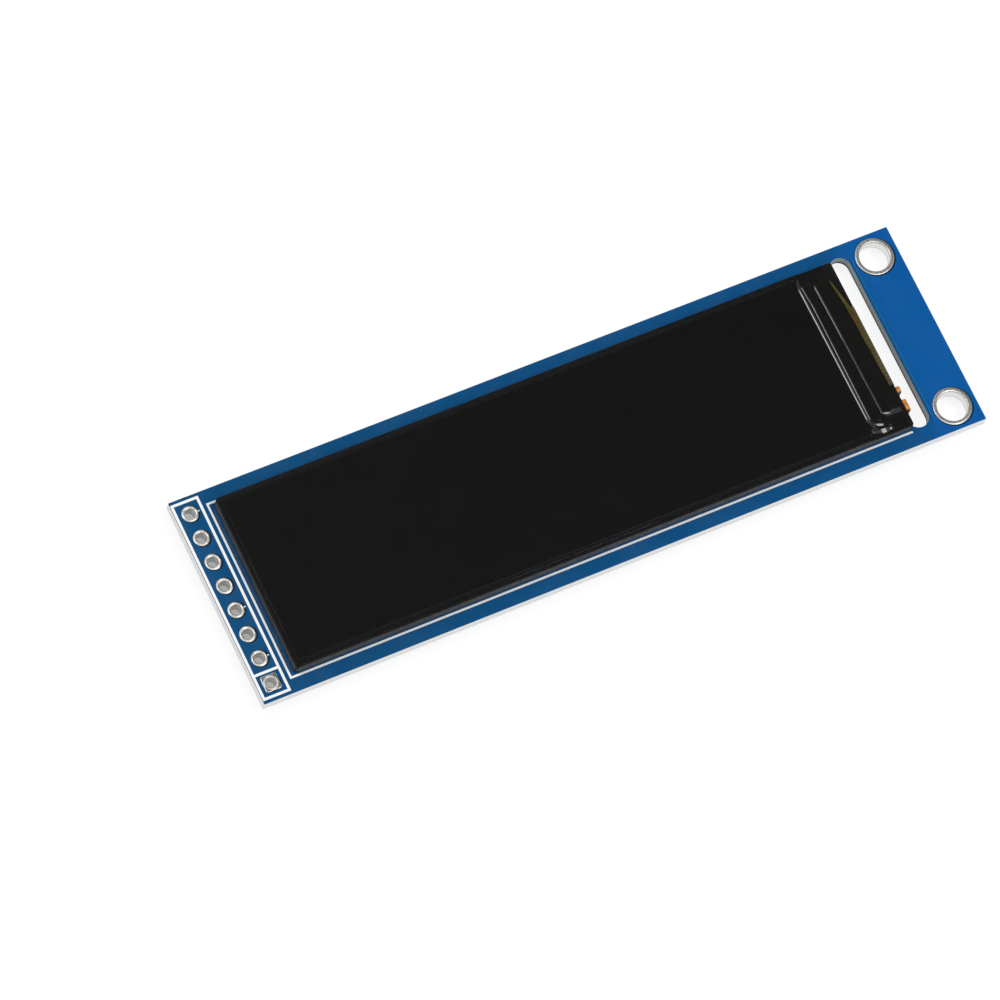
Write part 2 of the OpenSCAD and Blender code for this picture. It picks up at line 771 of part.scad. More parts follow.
module three_lead_lands() {
    l = land_margin + lead_foot + land_toe;
    at_leads()
        translate([0, sot_span / 2 + land_toe - l / 2, land_t / 2])
            cube([lead_w + 2 * land_margin, l, land_t], center = true);
}

module solder_lands() {
    color("lightsteelblue") on_back() {
        at_flex_joints() bar([-joint_l, -joint_w / 2, 0], [0, joint_w / 2, land_t]);
        for (spot = concat(capacitor_spots, resistor_spots))
            at_spot(spot) chip_part_lands();
        for (spot = [regulator_spot, transistor_spot])
            at_spot(spot) three_lead_lands();
    }
}

// A trapezium that tapers by the draft from a middle line at height z
module drafted_outline(w, z0, z1) {
    mid = (z0 + z1) / 2;
    taper = (z1 - mid) * tan(sot_draft);
    polygon([
        [-w / 2 + taper, z0],
        [w / 2 - taper, z0],
        [w / 2, mid],
        [w / 2 - taper, z1],
        [-w / 2 + taper, z1],
        [-w / 2, mid]
    ]);
}

// A moulded body that tapers towards its top and its underside
module three_lead_body() {
    z0 = land_t + sot_standoff;
    z1 = z0 + sot_h;
    intersection() {
        rotate([90, 0, 0]) linear_extrude(sot_w, center = true) drafted_outline(sot_l, z0, z1);
        rotate([90, 0, 90]) linear_extrude(sot_l, center = true) drafted_outline(sot_w, z0, z1);
    }
}

// Gull-wing leads, from the middle of the body's sides down to the lands
module three_leads() {
    exit_z = land_t + sot_standoff + sot_h / 2;
    foot_z = land_t + lead_t / 2;
    knee_y = sot_w / 2 + lead_shoulder;
    path = rounded_path(
        [
            [sot_w / 2, exit_z],
            [knee_y, exit_z],
            [knee_y + lead_slope, foot_z],
            [sot_span / 2, foot_z]
        ],
        lead_t
    );
    at_leads() rotate(90) bent_strip(path, lead_t, -lead_w / 2, lead_w / 2);
}

module regulator_body() {
    color([0.15, 0.15, 0.15]) on_back() at_spot(regulator_spot) three_lead_body();
}

module regulator_leads() {
    color("silver") on_back() at_spot(regulator_spot) three_leads();
}

module transistor_body() {
    color([0.15, 0.15, 0.15]) on_back() at_spot(transistor_spot) three_lead_body();
}

module transistor_leads() {
    color("silver") on_back() at_spot(transistor_spot) three_leads();
}

// The middle of a chip part, between its terminals
module chip_part_body(h) {
    l = chip_part_l - 2 * terminal_l;
    w = chip_part_w - 2 * body_relief;
    bar([-l / 2, -w / 2, land_t + body_relief], [l / 2, w / 2, land_t + h - body_relief]);
}

module chip_part_terminals(h) {
    for (side = [-1, 1])
        translate([side * (chip_part_l - terminal_l) / 2, 0, land_t + h / 2])
            cube([terminal_l, chip_part_w, h], center = true);
}

module capacitor_bodies() {
    color("tan") on_back()
        for (spot = capacitor_spots) at_spot(spot) chip_part_body(capacitor_h);
}

module capacitor_terminals() {
    color("silver") on_back()
        for (spot = capacitor_spots) at_spot(spot) chip_part_terminals(capacitor_h);
}

module resistor_bodies() {
    color([0.1, 0.1, 0.1]) on_back()
        for (spot = resistor_spots) at_spot(spot) chip_part_body(resistor_h);
}

module resistor_terminals() {
    color("silver") on_back()
        for (spot = resistor_spots) at_spot(spot) chip_part_terminals(resistor_h);
}

printed_circuit_board();
header_pads();
mounting_hole_rings();
silkscreen_front();
mounting_tape();
backlight_frame();
reflector_sheet();
light_guide_plate();
diffuser_film();
lower_prism_film();
upper_prism_film();
backlight_leds();
led_flex_strip();
rim_tape();
rear_polarizer();
tft_glass();
colour_filter_glass();
front_polarizer();
driver_chip();
ledge_cover_tape();
flex_cable();
flex_solder_joints();
solder_lands();
regulator_body();
regulator_leads();
transistor_body();
transistor_leads();
capacitor_bodies();
capacitor_terminals();
resistor_bodies();
resistor_terminals();
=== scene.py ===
import json
import math

import bmesh
import bpy
import numpy as np
from mathutils import Matrix, Vector


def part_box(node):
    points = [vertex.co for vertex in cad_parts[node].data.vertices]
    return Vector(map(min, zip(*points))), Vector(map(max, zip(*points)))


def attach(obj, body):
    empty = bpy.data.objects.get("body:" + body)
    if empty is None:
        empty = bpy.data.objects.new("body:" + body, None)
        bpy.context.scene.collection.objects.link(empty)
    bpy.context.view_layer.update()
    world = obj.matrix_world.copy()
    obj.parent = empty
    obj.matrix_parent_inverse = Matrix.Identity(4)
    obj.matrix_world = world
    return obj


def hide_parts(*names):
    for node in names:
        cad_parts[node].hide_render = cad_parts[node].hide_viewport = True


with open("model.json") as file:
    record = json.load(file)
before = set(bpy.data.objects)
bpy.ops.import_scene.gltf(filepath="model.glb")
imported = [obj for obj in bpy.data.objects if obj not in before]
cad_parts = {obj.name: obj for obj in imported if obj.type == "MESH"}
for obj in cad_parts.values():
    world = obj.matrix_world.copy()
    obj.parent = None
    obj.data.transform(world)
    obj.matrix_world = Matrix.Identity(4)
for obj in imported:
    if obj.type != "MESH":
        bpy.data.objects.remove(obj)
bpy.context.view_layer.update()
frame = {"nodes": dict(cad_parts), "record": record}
nodes = frame["nodes"]
record = frame["record"]
mounts = {m["name"]: m for m in record["mounts"]}
mm = 0.001  # every length below is in mm unless a note says metres, meshes are in metres
print("frame loaded: %d nodes" % len(nodes))


# places, read from the frame

def corners(node):  # lowest and highest corner of a CAD node, in mm
    low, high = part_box(node)
    return np.array(low) / mm, np.array(high) / mm


def cadPoints(node):  # points and triangles of a CAD node, in mm
    mesh = nodes[node].data
    points = np.zeros(len(mesh.vertices) * 3)
    mesh.vertices.foreach_get("co", points)
    loops = np.zeros(len(mesh.loops), int)
    mesh.loops.foreach_get("vertex_index", loops)
    return points.reshape(-1, 3) / mm, loops.reshape(-1, 3)


def islands(node):
    # boxes of a node's separate solids: each point starts with its own number,
    # and the lowest number of a triangle spreads to its corners until nothing changes
    points, triangles = cadPoints(node)
    spots, same = np.unique(np.round(points, 4), axis=0, return_inverse=True)
    triangles = same.ravel()[triangles]
    label, before = np.arange(len(spots)), None
    while before is None or (label != before).any():
        before = label.copy()
        np.minimum.at(label, triangles.ravel(), np.repeat(label[triangles].min(1), 3))
    return [(spots[label == k].min(0), spots[label == k].max(0)) for k in np.unique(label)]


def boxAbove(node, z):  # box of the part of a node that lies above a height
    points = cadPoints(node)[0]
    points = points[points[:, 2] > z]
    return points.min(0), points.max(0)


boardLow, boardHigh = corners("printed_circuit_board")
boardTop, boardBottom = boardHigh[2], boardLow[2]
filterLow, filterHigh = corners("colour_filter_glass")
chipLow, chipHigh = corners("driver_chip")
tapeLow, tapeHigh = corners("ledge_cover_tape")
polarizerLow, polarizerHigh = corners("front_polarizer")
ledgeTop = corners("tft_glass")[1][2]
bondLow, bondHigh = boxAbove("flex_cable", ledgeTop)  # the cable on the ledge

# the slot's corners: the board's points around a place past the panel's end, short of the board's sides
slotSearch = {"past": 1.0, "reach": 1.4, "halfLength": 9.8}
boardPoints = cadPoints("printed_circuit_board")[0]
slotX = corners("backlight_frame")[1][0] + slotSearch["past"]
offX, offY = np.abs(boardPoints[:, :2] - [slotX, 0]).T
inSlot = boardPoints[(offX < slotSearch["reach"]) & (offY < slotSearch["halfLength"])]
slotLow, slotHigh = inSlot.min(0), inSlot.max(0)

padSpots = [np.array(m["pos_m"]) / mm for n, m in sorted(mounts.items()) if n.startswith("header_hole")]
padOuter = (corners("header_pads")[1] - padSpots[-1])[0]
firstOuter = 0.74  # tin ring on the first pad's square plate
holes = mounts["mounting_holes"]
holeStep = np.array([0, holes["dims"]["spacing_y_mm"] / 2, 0])
holeSpots = [np.array(holes["pos_m"]) / mm + side * holeStep for side in (-1, 1)]
ringOuter = (corners("mounting_hole_rings")[1] - holeSpots[-1])[0]


# shaders: small helpers that add nodes to one material's tree

noiseSpan = (0.3, 0.7)  # where soft noise mostly lies
upSpan = (0.35, 0.75)  # height of the normal, from a side face to one that looks up


def addNode(tree, kind, **settings):
    node = tree.nodes.new(kind)
    for key, value in settings.items():
        setattr(node, key, value)
    return node


def objectCoords(tree):  # metres in the CAD frame, because every piece sits at the origin
    return addNode(tree, "ShaderNodeTexCoord").outputs["Object"]


def split(tree, vector):  # the three numbers of a vector as separate outputs
    node = addNode(tree, "ShaderNodeSeparateXYZ")
    tree.links.new(vector, node.inputs[0])
    return node.outputs


def axes(tree):
    return split(tree, objectCoords(tree))


def grain(tree, size, detail=3.0, stretch=(1, 1, 1)):  # soft noise with lumps of about that size in mm
    spread = addNode(tree, "ShaderNodeMapping")
    spread.inputs["Scale"].default_value = stretch
    noise = addNode(tree, "ShaderNodeTexNoise")
    noise.inputs["Scale"].default_value = 1 / (size * mm)
    noise.inputs["Detail"].default_value = detail
    tree.links.new(objectCoords(tree), spread.inputs["Vector"])
    tree.links.new(spread.outputs["Vector"], noise.inputs["Vector"])
    return noise.outputs["Fac"]


def ease(tree, value, start, end, low=0.0, high=1.0):  # low before start, high after end, smooth between
    ramp = addNode(tree, "ShaderNodeMapRange", interpolation_type="SMOOTHSTEP")
    tree.links.new(value, ramp.inputs["Value"])
    for name, number in (("From Min", start), ("From Max", end), ("To Min", low), ("To Max", high)):
        ramp.inputs[name].default_value = number
    return ramp.outputs["Result"]


def easeMm(tree, value, start, end, low=0.0, high=1.0):  # the same on a coordinate, from and to places in mm
    return ease(tree, value, start * mm, end * mm, low, high)


def sums(tree, operation, first, second=0.0):  # one arithmetic step, on outputs or numbers
    node = addNode(tree, "ShaderNodeMath", operation=operation)
    for socket, item in zip(node.inputs, (first, second)):
        if isinstance(item, (int, float)):
            socket.default_value = item
        else:
            tree.links.new(item, socket)
    return node.outputs[0]


def within(tree, value, full, none):  # 1 up to a distance from the middle, 0 from a larger one on, in mm
    return easeMm(tree, sums(tree, "ABSOLUTE", value), full, none, 1.0, 0.0)


def distance(tree, dx, dy):
    square = sums(tree, "ADD", sums(tree, "MULTIPLY", dx, dx), sums(tree, "MULTIPLY", dy, dy))
    return sums(tree, "SQRT", square)


def patches(tree, size, low, high):  # a value that drifts between two levels, in patches of about that size
    return ease(tree, grain(tree, size), *noiseSpan, low, high)


def upward(tree):  # 1 on faces that look up, 0 on the sides
    normal = addNode(tree, "ShaderNodeNewGeometry").outputs["Normal"]
    return ease(tree, split(tree, normal)[2], *upSpan)


def tones(tree, factor, first, second):  # mixes two colours, given as outputs or as linear triples
    node = addNode(tree, "ShaderNodeMix", data_type="RGBA")
    tree.links.new(factor, node.inputs[0])
    for socket, item in zip(node.inputs[6:8], (first, second)):
        if isinstance(item, tuple):
            socket.default_value = (*item, 1)
        else:
            tree.links.new(item, socket)
    return node.outputs[2]


def startMaterial(name, specular=0.5, metallic=0.0):
    material = bpy.data.materials.new(name)
    material.use_nodes = True
    tree = material.node_tree
    shader = tree.nodes["Principled BSDF"]
    shader.inputs["Specular IOR Level"].default_value = specular
    shader.inputs["Metallic"].default_value = metallic
    return material, tree, shader


def applyLook(tree, shader, colour, rough, relief, depth):  # outputs for each, and the relief's depth in mm
    bump = addNode(tree, "ShaderNodeBump")
    bump.inputs["Distance"].default_value = depth * mm
    tree.links.new(relief, bump.inputs["Height"])
    for name, output in (("Base Color", colour), ("Roughness", rough), ("Normal", bump.outputs["Normal"])):
        tree.links.new(output, shader.inputs[name])


# plain finishes: two tones, grain in mm, roughness from and to, specular level, relief's depth in mm,
# and the grains of roughness and relief where they aren't tied to the colour's
plainFinishes = {
    "print_white": ((0.93, 0.95, 0.96), (0.97, 0.98, 0.98), 0.25, (0.5, 0.7), 0.2, 0.003),
    "adhesive_white": ((0.70, 0.70, 0.67), (0.80, 0.80, 0.78), 0.5, (0.5, 0.7), 0.3, 0.01),
    "reflector_film": ((0.84, 0.85, 0.87), (0.90, 0.91, 0.92), 0.8, (0.2, 0.3), 0.5, 0.002),
    "guide_acrylic": ((0.76, 0.82, 0.84), (0.82, 0.87, 0.88), 1.5, (0.08, 0.15), 0.5, 0.002),
    "optical_film": ((0.74, 0.76, 0.78), (0.80, 0.82, 0.83), 0.6, (0.3, 0.45), 0.4, 0.003),
    "lamp_resin": ((0.84, 0.74, 0.36), (0.88, 0.84, 0.66), 0.4, (0.35, 0.5), 0.4, 0.006),
    "black_adhesive": ((0.008, 0.008, 0.008), (0.014, 0.014, 0.014), 0.4, (0.5, 0.7), 0.2, 0.006),
    "panel_glass": ((0.005, 0.006, 0.007), (0.009, 0.010, 0.011), 2.0, (0.06, 0.12), 0.5, 0.001),
    "silicon": ((0.08, 0.08, 0.09), (0.12, 0.12, 0.13), 0.5, (0.2, 0.3), 0.5, 0.002),
    "cover_tape": (
        (0.0040, 0.0039, 0.0035), (0.0075, 0.0072, 0.0066), 0.7, (0.08, 0.14), 0.5, 0.001, 0.4, 0.3,
    ),
    "mould_compound": ((0.018, 0.018, 0.020), (0.030, 0.030, 0.032), 0.06, (0.5, 0.68), 0.35, 0.008),
    "capacitor_ceramic": ((0.38, 0.24, 0.13), (0.48, 0.33, 0.19), 0.15, (0.45, 0.6), 0.4, 0.006),
    "resistor_coat": ((0.010, 0.010, 0.012), (0.020, 0.020, 0.024), 0.2, (0.25, 0.4), 0.45, 0.004),
}


def plainFinish(name, first, second, size, rough, gloss, depth, roughSize=None, reliefSize=None):
    material, tree, shader = startMaterial(name, specular=gloss)
    lumps = grain(tree, size)
    relief = grain(tree, reliefSize) if reliefSize else lumps
    patchy = patches(tree, roughSize or size * 3, *rough)  # larger lumps than the colour's, unless given
    applyLook(tree, shader, tones(tree, lumps, first, second), patchy, relief, depth)
    return material


maskSet = {
    "deep": (0.0036, 0.074, 0.200),  # mask over bare laminate
    "bright": (0.0024, 0.098, 0.345),  # mask over the copper at the mounting end
    "copper": (0.0020, 0.110, 0.300),  # mask over a trace
    "edgeLine": (0.012, 0.150, 0.380),  # thin rim where that copper ends beside the slot
    "opening": (0.003, 0.016, 0.034),  # bare ring between a pad and the mask, dark as a painted shadow beside the pad
    "clouds": dict(span=(0.35, 0.75), share=0.05),  # lighter patches in the lacquer
    "board": dict(grain=2.4, depth=0.005),
    "trace": dict(grain=0.9, depth=0.004),
    "rough": (0.16, 0.28),
    "roughSize": 3.0,
    "gloss": 0.25,
    "drift": 0.24,  # share of the bright tone that comes in along the board
    "brightEnd": 1.5,  # how far past the slot that tone is full
    "copperStart": 0.26,  # distance of the copper from the slot's edge
    "copperBlend": (0.06, 0.02),  # before and after that place
    "rim": 0.16,  # width of the thin rim
    "slotBlend": 0.1,
    "straight": 8.2,  # half length of the slot's straight side
    "openings": dict(gap=0.09, blend=0.02, shift=(0.05, -0.04)),  # of the mask around pads and rings; the shift sets the ring off to one side as a painted shadow
    "skin": 0.05,  # thickness of the mask
    "skinBlend": 0.01,
}
laminateSet = {
    # the laminate's own pale tone, brightened to near-white as painted light
    "pale": (0.95, 0.96, 0.95),
    "dark": (0.86, 0.87, 0.86),
    "routed": (0.50, 0.56, 0.58),  # painted shade on the wall of the slot
    # painted shade at the foot of the slot's wall
    "routedFoot": (0.10, 0.10, 0.095),
    "foot": (0.25, 0.45),  # heights between which the painted shade at the wall's foot lightens
    "inside": (0.6, 0.3),  # walls further from the board's outline than this are the slot's
    "weave": dict(size=0.16, stretch=(1, 1, 6)),
    "dull": 0.5,  # how much rougher it is than the mask
}


def cloudy(tree, clouds, tone):  # lighter patches in the lacquer
    look = maskSet["clouds"]
    return tones(tree, ease(tree, clouds, *look["span"], 0.0, look["share"]), tone, maskSet["edgeLine"])


def nearRow(tree, x, y, places, outer):
    # 1 inside the mask's openings around a row of pads, shifted to one side for a painted shadow: the
    # distance from the nearest pad of the row, whose y repeats at the row's pitch
    look = maskSet["openings"]
    first, pitch = places[0], places[1][1] - places[0][1]
    dx = sums(tree, "SUBTRACT", x, (first[0] + look["shift"][0]) * mm)
    row = sums(tree, "SUBTRACT", y, (first[1] + look["shift"][1] - pitch / 2) * mm)
    dy = sums(tree, "SUBTRACT", sums(tree, "FLOORED_MODULO", row, pitch * mm), pitch / 2 * mm)
    edge = outer + look["gap"]
    return easeMm(tree, distance(tree, dx, dy), edge - look["blend"], edge + look["blend"], 1.0, 0.0)


def maskColour(tree, x, y, clouds):
    # Object x picks copper or bare laminate under the mask, and a thin rim marks the copper's edge
    copperX = slotHigh[0] + maskSet["copperStart"]
    before, after = maskSet["copperBlend"]
    onCopper = easeMm(tree, x, copperX - before, copperX + after)
    beside = within(tree, y, maskSet["straight"], slotHigh[1])
    rim = sums(tree, "MULTIPLY", onCopper, easeMm(tree, x, copperX, copperX + maskSet["rim"], 1.0, 0.0))
    pastSlot = easeMm(tree, x, slotHigh[0] - maskSet["slotBlend"], slotHigh[0])
    bare = sums(tree, "SUBTRACT", pastSlot, onCopper)
    drift = easeMm(tree, x, boardLow[0], boardHigh[0], 0.0, maskSet["drift"])
    atEnd = easeMm(tree, x, slotLow[0], slotHigh[0] + maskSet["brightEnd"])
    tone = tones(tree, drift, maskSet["deep"], maskSet["bright"])
    tone = tones(tree, atEnd, tone, maskSet["bright"])
    tone = tones(tree, sums(tree, "MULTIPLY", bare, beside), tone, maskSet["deep"])
    tone = tones(tree, sums(tree, "MULTIPLY", rim, beside), tone, maskSet["edgeLine"])
    tone = cloudy(tree, clouds, tone)
    # dark rings around the pads and mounting rings: the mask's openings, partly painted shadow
    for places, outer in ((padSpots, padOuter), (holeSpots, ringOuter)):
        tone = tones(tree, nearRow(tree, x, y, places, outer), tone, maskSet["opening"])
    return tone


def laminateColour(tree, x, y, z):  # pale cut edges, brightened as painted light, and painted shade on the slot's walls inside the board's outline, darkest at their foot
    core = tones(tree, grain(tree, **laminateSet["weave"]), laminateSet["dark"], laminateSet["pale"])
    start, end = (boardBottom + height for height in laminateSet["foot"])
    wall = tones(tree, easeMm(tree, z, start, end), laminateSet["routedFoot"], laminateSet["routed"])
    full, none = laminateSet["inside"]
    sides = [within(tree, value, edge - full, edge - none) for value, edge in zip((x, y), boardHigh)]
    return tones(tree, sums(tree, "MULTIPLY", *sides), core, wall)


def solderMask():  # Object z picks the mask on the board's faces or the laminate between them
    material, tree, shader = startMaterial("solder_mask", specular=maskSet["gloss"])
    x, y, z = axes(tree)
    clouds = grain(tree, maskSet["board"]["grain"])
    fromMiddle = sums(tree, "SUBTRACT", z, (boardTop + boardBottom) / 2 * mm)
    half = (boardTop - boardBottom) / 2 - maskSet["skin"]
    onCore = within(tree, fromMiddle, half - maskSet["skinBlend"], half + maskSet["skinBlend"])
    colour = tones(tree, onCore, maskColour(tree, x, y, clouds), laminateColour(tree, x, y, z))
    lacquer = patches(tree, maskSet["roughSize"], *maskSet["rough"])
    rough = sums(tree, "ADD", lacquer, sums(tree, "MULTIPLY", onCore, laminateSet["dull"]))
    applyLook(tree, shader, colour, rough, clouds, maskSet["board"]["depth"])
    return material


def maskOverCopper():
    material, tree, shader = startMaterial("maskOverCopper", specular=maskSet["gloss"])
    clouds = grain(tree, maskSet["trace"]["grain"])
    rough = patches(tree, maskSet["roughSize"], *maskSet["rough"])
    applyLook(tree, shader, cloudy(tree, clouds, maskSet["copper"]), rough, clouds, maskSet["trace"]["depth"])
    return material


tinSet = {
    "bright": (0.57, 0.56, 0.535),
    "dull": (0.45, 0.44, 0.415),
    "bore": (0.52, 0.51, 0.485),  # inside the header's barrels
    "worn": (0.40, 0.40, 0.38),  # painted reflection: a darker tone on the mounting rings, for the dim surroundings they mirror
    "clean": (0.86, 0.86, 0.84),  # painted light: a much brighter tone on the barrels inside those holes
    "plate": (0.20, 0.20, 0.19),  # painted reflection: dark tone on the square plate of the first pad, inside its bright border
    "plateBorder": 0.07,
    "plateBlend": (0.05, 0.02),  # at the ring and at the border
    "holesFrom": (2.4, 2.0),  # distances from the holes' axis between which the darker ring tone comes in
    "holesShare": 0.75,
    "headerTo": (1.5, 2.0),  # distances from the header's axis between which the bore's tone ends
    "boreBlend": (0.25, 0.1),  # below the board's top and above its bottom
    "cloud": dict(grain=0.5, span=(0.35, 0.65), depth=0.003),
    "rough": (0.26, 0.40),
    "roughSize": 0.14,
}


def onPlate(tree, x, y):
    # 1 on the first pad's plate: further from its axis than the ring, and inside the square border
    dx = sums(tree, "ABSOLUTE", sums(tree, "SUBTRACT", x, padSpots[0][0] * mm))
    dy = sums(tree, "ABSOLUTE", sums(tree, "SUBTRACT", y, padSpots[0][1] * mm))
    border = padOuter - tinSet["plateBorder"]
    atRing, atBorder = tinSet["plateBlend"]
    pastRing = easeMm(tree, distance(tree, dx, dy), firstOuter - atRing, firstOuter)
    inside = easeMm(tree, sums(tree, "MAXIMUM", dx, dy), border - atBorder, border, 1.0, 0.0)
    return sums(tree, "MULTIPLY", pastRing, inside)


def tinPlating():
    material, tree, shader = startMaterial("tin_plating", metallic=1.0)
    x, y, z = axes(tree)
    cloud = grain(tree, tinSet["cloud"]["grain"])
    start, end = (holeSpots[0][0] - way for way in tinSet["holesFrom"])
    atHoles = easeMm(tree, x, start, end, 0.0, tinSet["holesShare"])
    start, end = (padSpots[0][0] + way for way in tinSet["headerTo"])
    atHeader = easeMm(tree, x, start, end, 1.0, 0.0)
    atTop, atFoot = tinSet["boreBlend"]
    belowTop = easeMm(tree, z, boardTop - atTop, boardTop, 1.0, 0.0)
    inBore = sums(tree, "MULTIPLY", belowTop, easeMm(tree, z, boardBottom, boardBottom + atFoot))
    tone = tones(tree, ease(tree, cloud, *tinSet["cloud"]["span"]), tinSet["dull"], tinSet["bright"])
    # painted reflection: darker tin on the mounting rings
    tone = tones(tree, atHoles, tone, tinSet["worn"])
    tone = tones(tree, sums(tree, "MULTIPLY", atHeader, inBore), tone, tinSet["bore"])
    # painted light inside the mounting holes' barrels
    tone = tones(tree, sums(tree, "MULTIPLY", atHoles, inBore), tone, tinSet["clean"])
    # painted reflection: dark on the first pad's square plate
    tone = tones(tree, onPlate(tree, x, y), tone, tinSet["plate"])
    rough = patches(tree, tinSet["roughSize"], *tinSet["rough"])
    applyLook(tree, shader, tone, rough, cloud, tinSet["cloud"]["depth"])
    return material


frameSet = {
    "side": ((0.024, 0.027, 0.030), (0.032, 0.035, 0.039)),
    "top": ((0.0020, 0.0020, 0.0020), (0.0040, 0.0040, 0.0040)),  # faces that look up, far darker than the sides
    "grain": 0.12,
    "depth": 0.002,
    "rough": (0.30, 0.42),
    "roughSize": 0.4,
    "gloss": 0.16,
}


def framePlastic():
    material, tree, shader = startMaterial("frame_plastic", specular=frameSet["gloss"])
    lumps = grain(tree, frameSet["grain"])
    side, top = (tones(tree, lumps, *frameSet[k]) for k in ("side", "top"))
    rough = patches(tree, frameSet["roughSize"], *frameSet["rough"])
    applyLook(tree, shader, tones(tree, upward(tree), side, top), rough, lumps, frameSet["depth"])
    return material


filmSet = {
    "pair": ((0.0050, 0.0049, 0.0046), (0.0062, 0.0060, 0.0056)),
    "grain": 9.0,
    "satin": dict(size=0.05, detail=1.0),
    "depth": 0.0003,
    "rough": (0.24, 0.26),
    "roughSize": 2.5,
    "cut": 0.3,  # how much rougher the cut sides are
    "gloss": 0.12,
}


def polarizerFilm():
    material, tree, shader = startMaterial("polarizer_film", specular=filmSet["gloss"])
    colour = tones(tree, grain(tree, filmSet["grain"]), *filmSet["pair"])
    face = patches(tree, filmSet["roughSize"], *filmSet["rough"])
    sides = sums(tree, "MULTIPLY", sums(tree, "SUBTRACT", 1.0, upward(tree)), filmSet["cut"])
    satin = grain(tree, **filmSet["satin"])
    applyLook(tree, shader, colour, sums(tree, "ADD", face, sides), satin, filmSet["depth"])
    return material


# cables: film, the same over a conductor, dark patches (grain, span and share), tints that come in along y
# (tone, from and to), specular level and the conductors' pitch
cableSet = {
    "cable_polyimide": dict(
        # painted shade: the cable's film and conductor tones are its amber darkened by the shade it lies in
        film=(0.070, 0.053, 0.018),
        copper=(0.094, 0.070, 0.022),
        dark=(0.036, 0.029, 0.013),
        darkPatches=(1.4, (0.35, 0.65), 0.4),
        tints=[
            ((0.066, 0.040, 0.003), 0.6, 2.8),  # deeper amber towards the far side
            ((0.088, 0.080, 0.016), 3.4, 4.6),  # greener past the neck
        ],
        gloss=0.2,
        pitch=0.4,
    ),
    "lamp_polyimide": dict(
        film=(0.56, 0.19, 0.016),
        copper=(0.68, 0.28, 0.04),
        dark=(0.24, 0.07, 0.008),
        darkPatches=(0.9, (0.4, 0.7), 0.25),
        tints=[],
        gloss=0.4,
        pitch=0.6,
    ),
}
conductorSet = {
    "share": 0.5,  # width, as a share of the pitch
    "blend": 0.06,
    "depth": 0.003,
    "tint": 0.8,  # strength of a tint where it is full
    "rough": (0.25, 0.4),
    "roughSize": 0.3,
}


def conductorStripes(tree, across, pitch):  # 1 over a conductor, 0 between
    phase = sums(tree, "FRACT", sums(tree, "DIVIDE", across, pitch * mm))
    off = sums(tree, "ABSOLUTE", sums(tree, "SUBTRACT", phase, 0.5))
    edge, blend = conductorSet["share"] / 2, conductorSet["blend"]
    return ease(tree, off, edge - blend, edge + blend, 1.0, 0.0)


def polyimide(name, film, copper, dark, darkPatches, tints, gloss, pitch):
    material, tree, shader = startMaterial(name, specular=gloss)
    y = axes(tree)[1]
    stripes = conductorStripes(tree, y, pitch)
    colour = tones(tree, stripes, film, copper)
    for tint, start, end in tints:
        colour = tones(tree, easeMm(tree, y, start, end, 0.0, conductorSet["tint"]), colour, tint)
    size, span, share = darkPatches
    colour = tones(tree, ease(tree, grain(tree, size), *span, 0.0, share), colour, dark)
    rough = patches(tree, conductorSet["roughSize"], *conductorSet["rough"])
    applyLook(tree, shader, colour, rough, stripes, conductorSet["depth"])
    return material


materials = {name: plainFinish(name, *look) for name, look in plainFinishes.items()}
materials.update({name: polyimide(name, **look) for name, look in cableSet.items()})
materials["solder_mask"] = solderMask()
materials["maskOverCopper"] = maskOverCopper()
materials["tin_plating"] = tinPlating()
materials["frame_plastic"] = framePlastic()
materials["polarizer_film"] = polarizerFilm()
slotOf = {part["node"]: part["material_slot"] for part in record["subparts"]}
for node, slotName in slotOf.items():
    nodes[node].data.materials.clear()
    nodes[node].data.materials.append(materials[slotName])
print("materials: %d finishes on %d nodes" % (len(materials), len(slotOf)))


# meshes: grids of points with rows along one parameter and columns along the other

# distance in metres at which points are merged; angles in degrees up to which faces are joined as one flat,
# from which edges are rounded, and from which creases stay sharp; share of a normal that counts as square
meshSet = {"merge": 2e-7, "flat": 0.5, "rounded": 40, "crease": 50, "square": 0.9999}


def gridFaces(rows, cols, closeRows, closeCols):
    i = np.arange(rows if closeRows else rows - 1)[:, None]
    j = np.arange(cols if closeCols else cols - 1)[None, :]
    i2, j2 = (i + 1) % rows, (j + 1) % cols
    quads = [i * cols + j, i2 * cols + j, i2 * cols + j2, i * cols + j2]
    return np.stack(quads, -1).reshape(-1, 4)


def addPiece(name, mesh, slotName, standsFor=(), look=None):
    mesh.materials.clear()
    mesh.materials.append(materials[look or slotName])
    piece = bpy.data.objects.new(name, mesh)
    bpy.context.scene.collection.objects.link(piece)
    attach(piece, "root")
    if standsFor:
        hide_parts(*standsFor)


def shadeFlats(mesh):  # faces square to an axis stay flat, the rounded strips between them are smooth
    normals = np.zeros(len(mesh.polygons) * 3, np.float32)
    mesh.polygons.foreach_get("normal", normals)
    mesh.polygons.foreach_set("use_smooth", np.abs(normals.reshape(-1, 3)).max(1) < meshSet["square"])


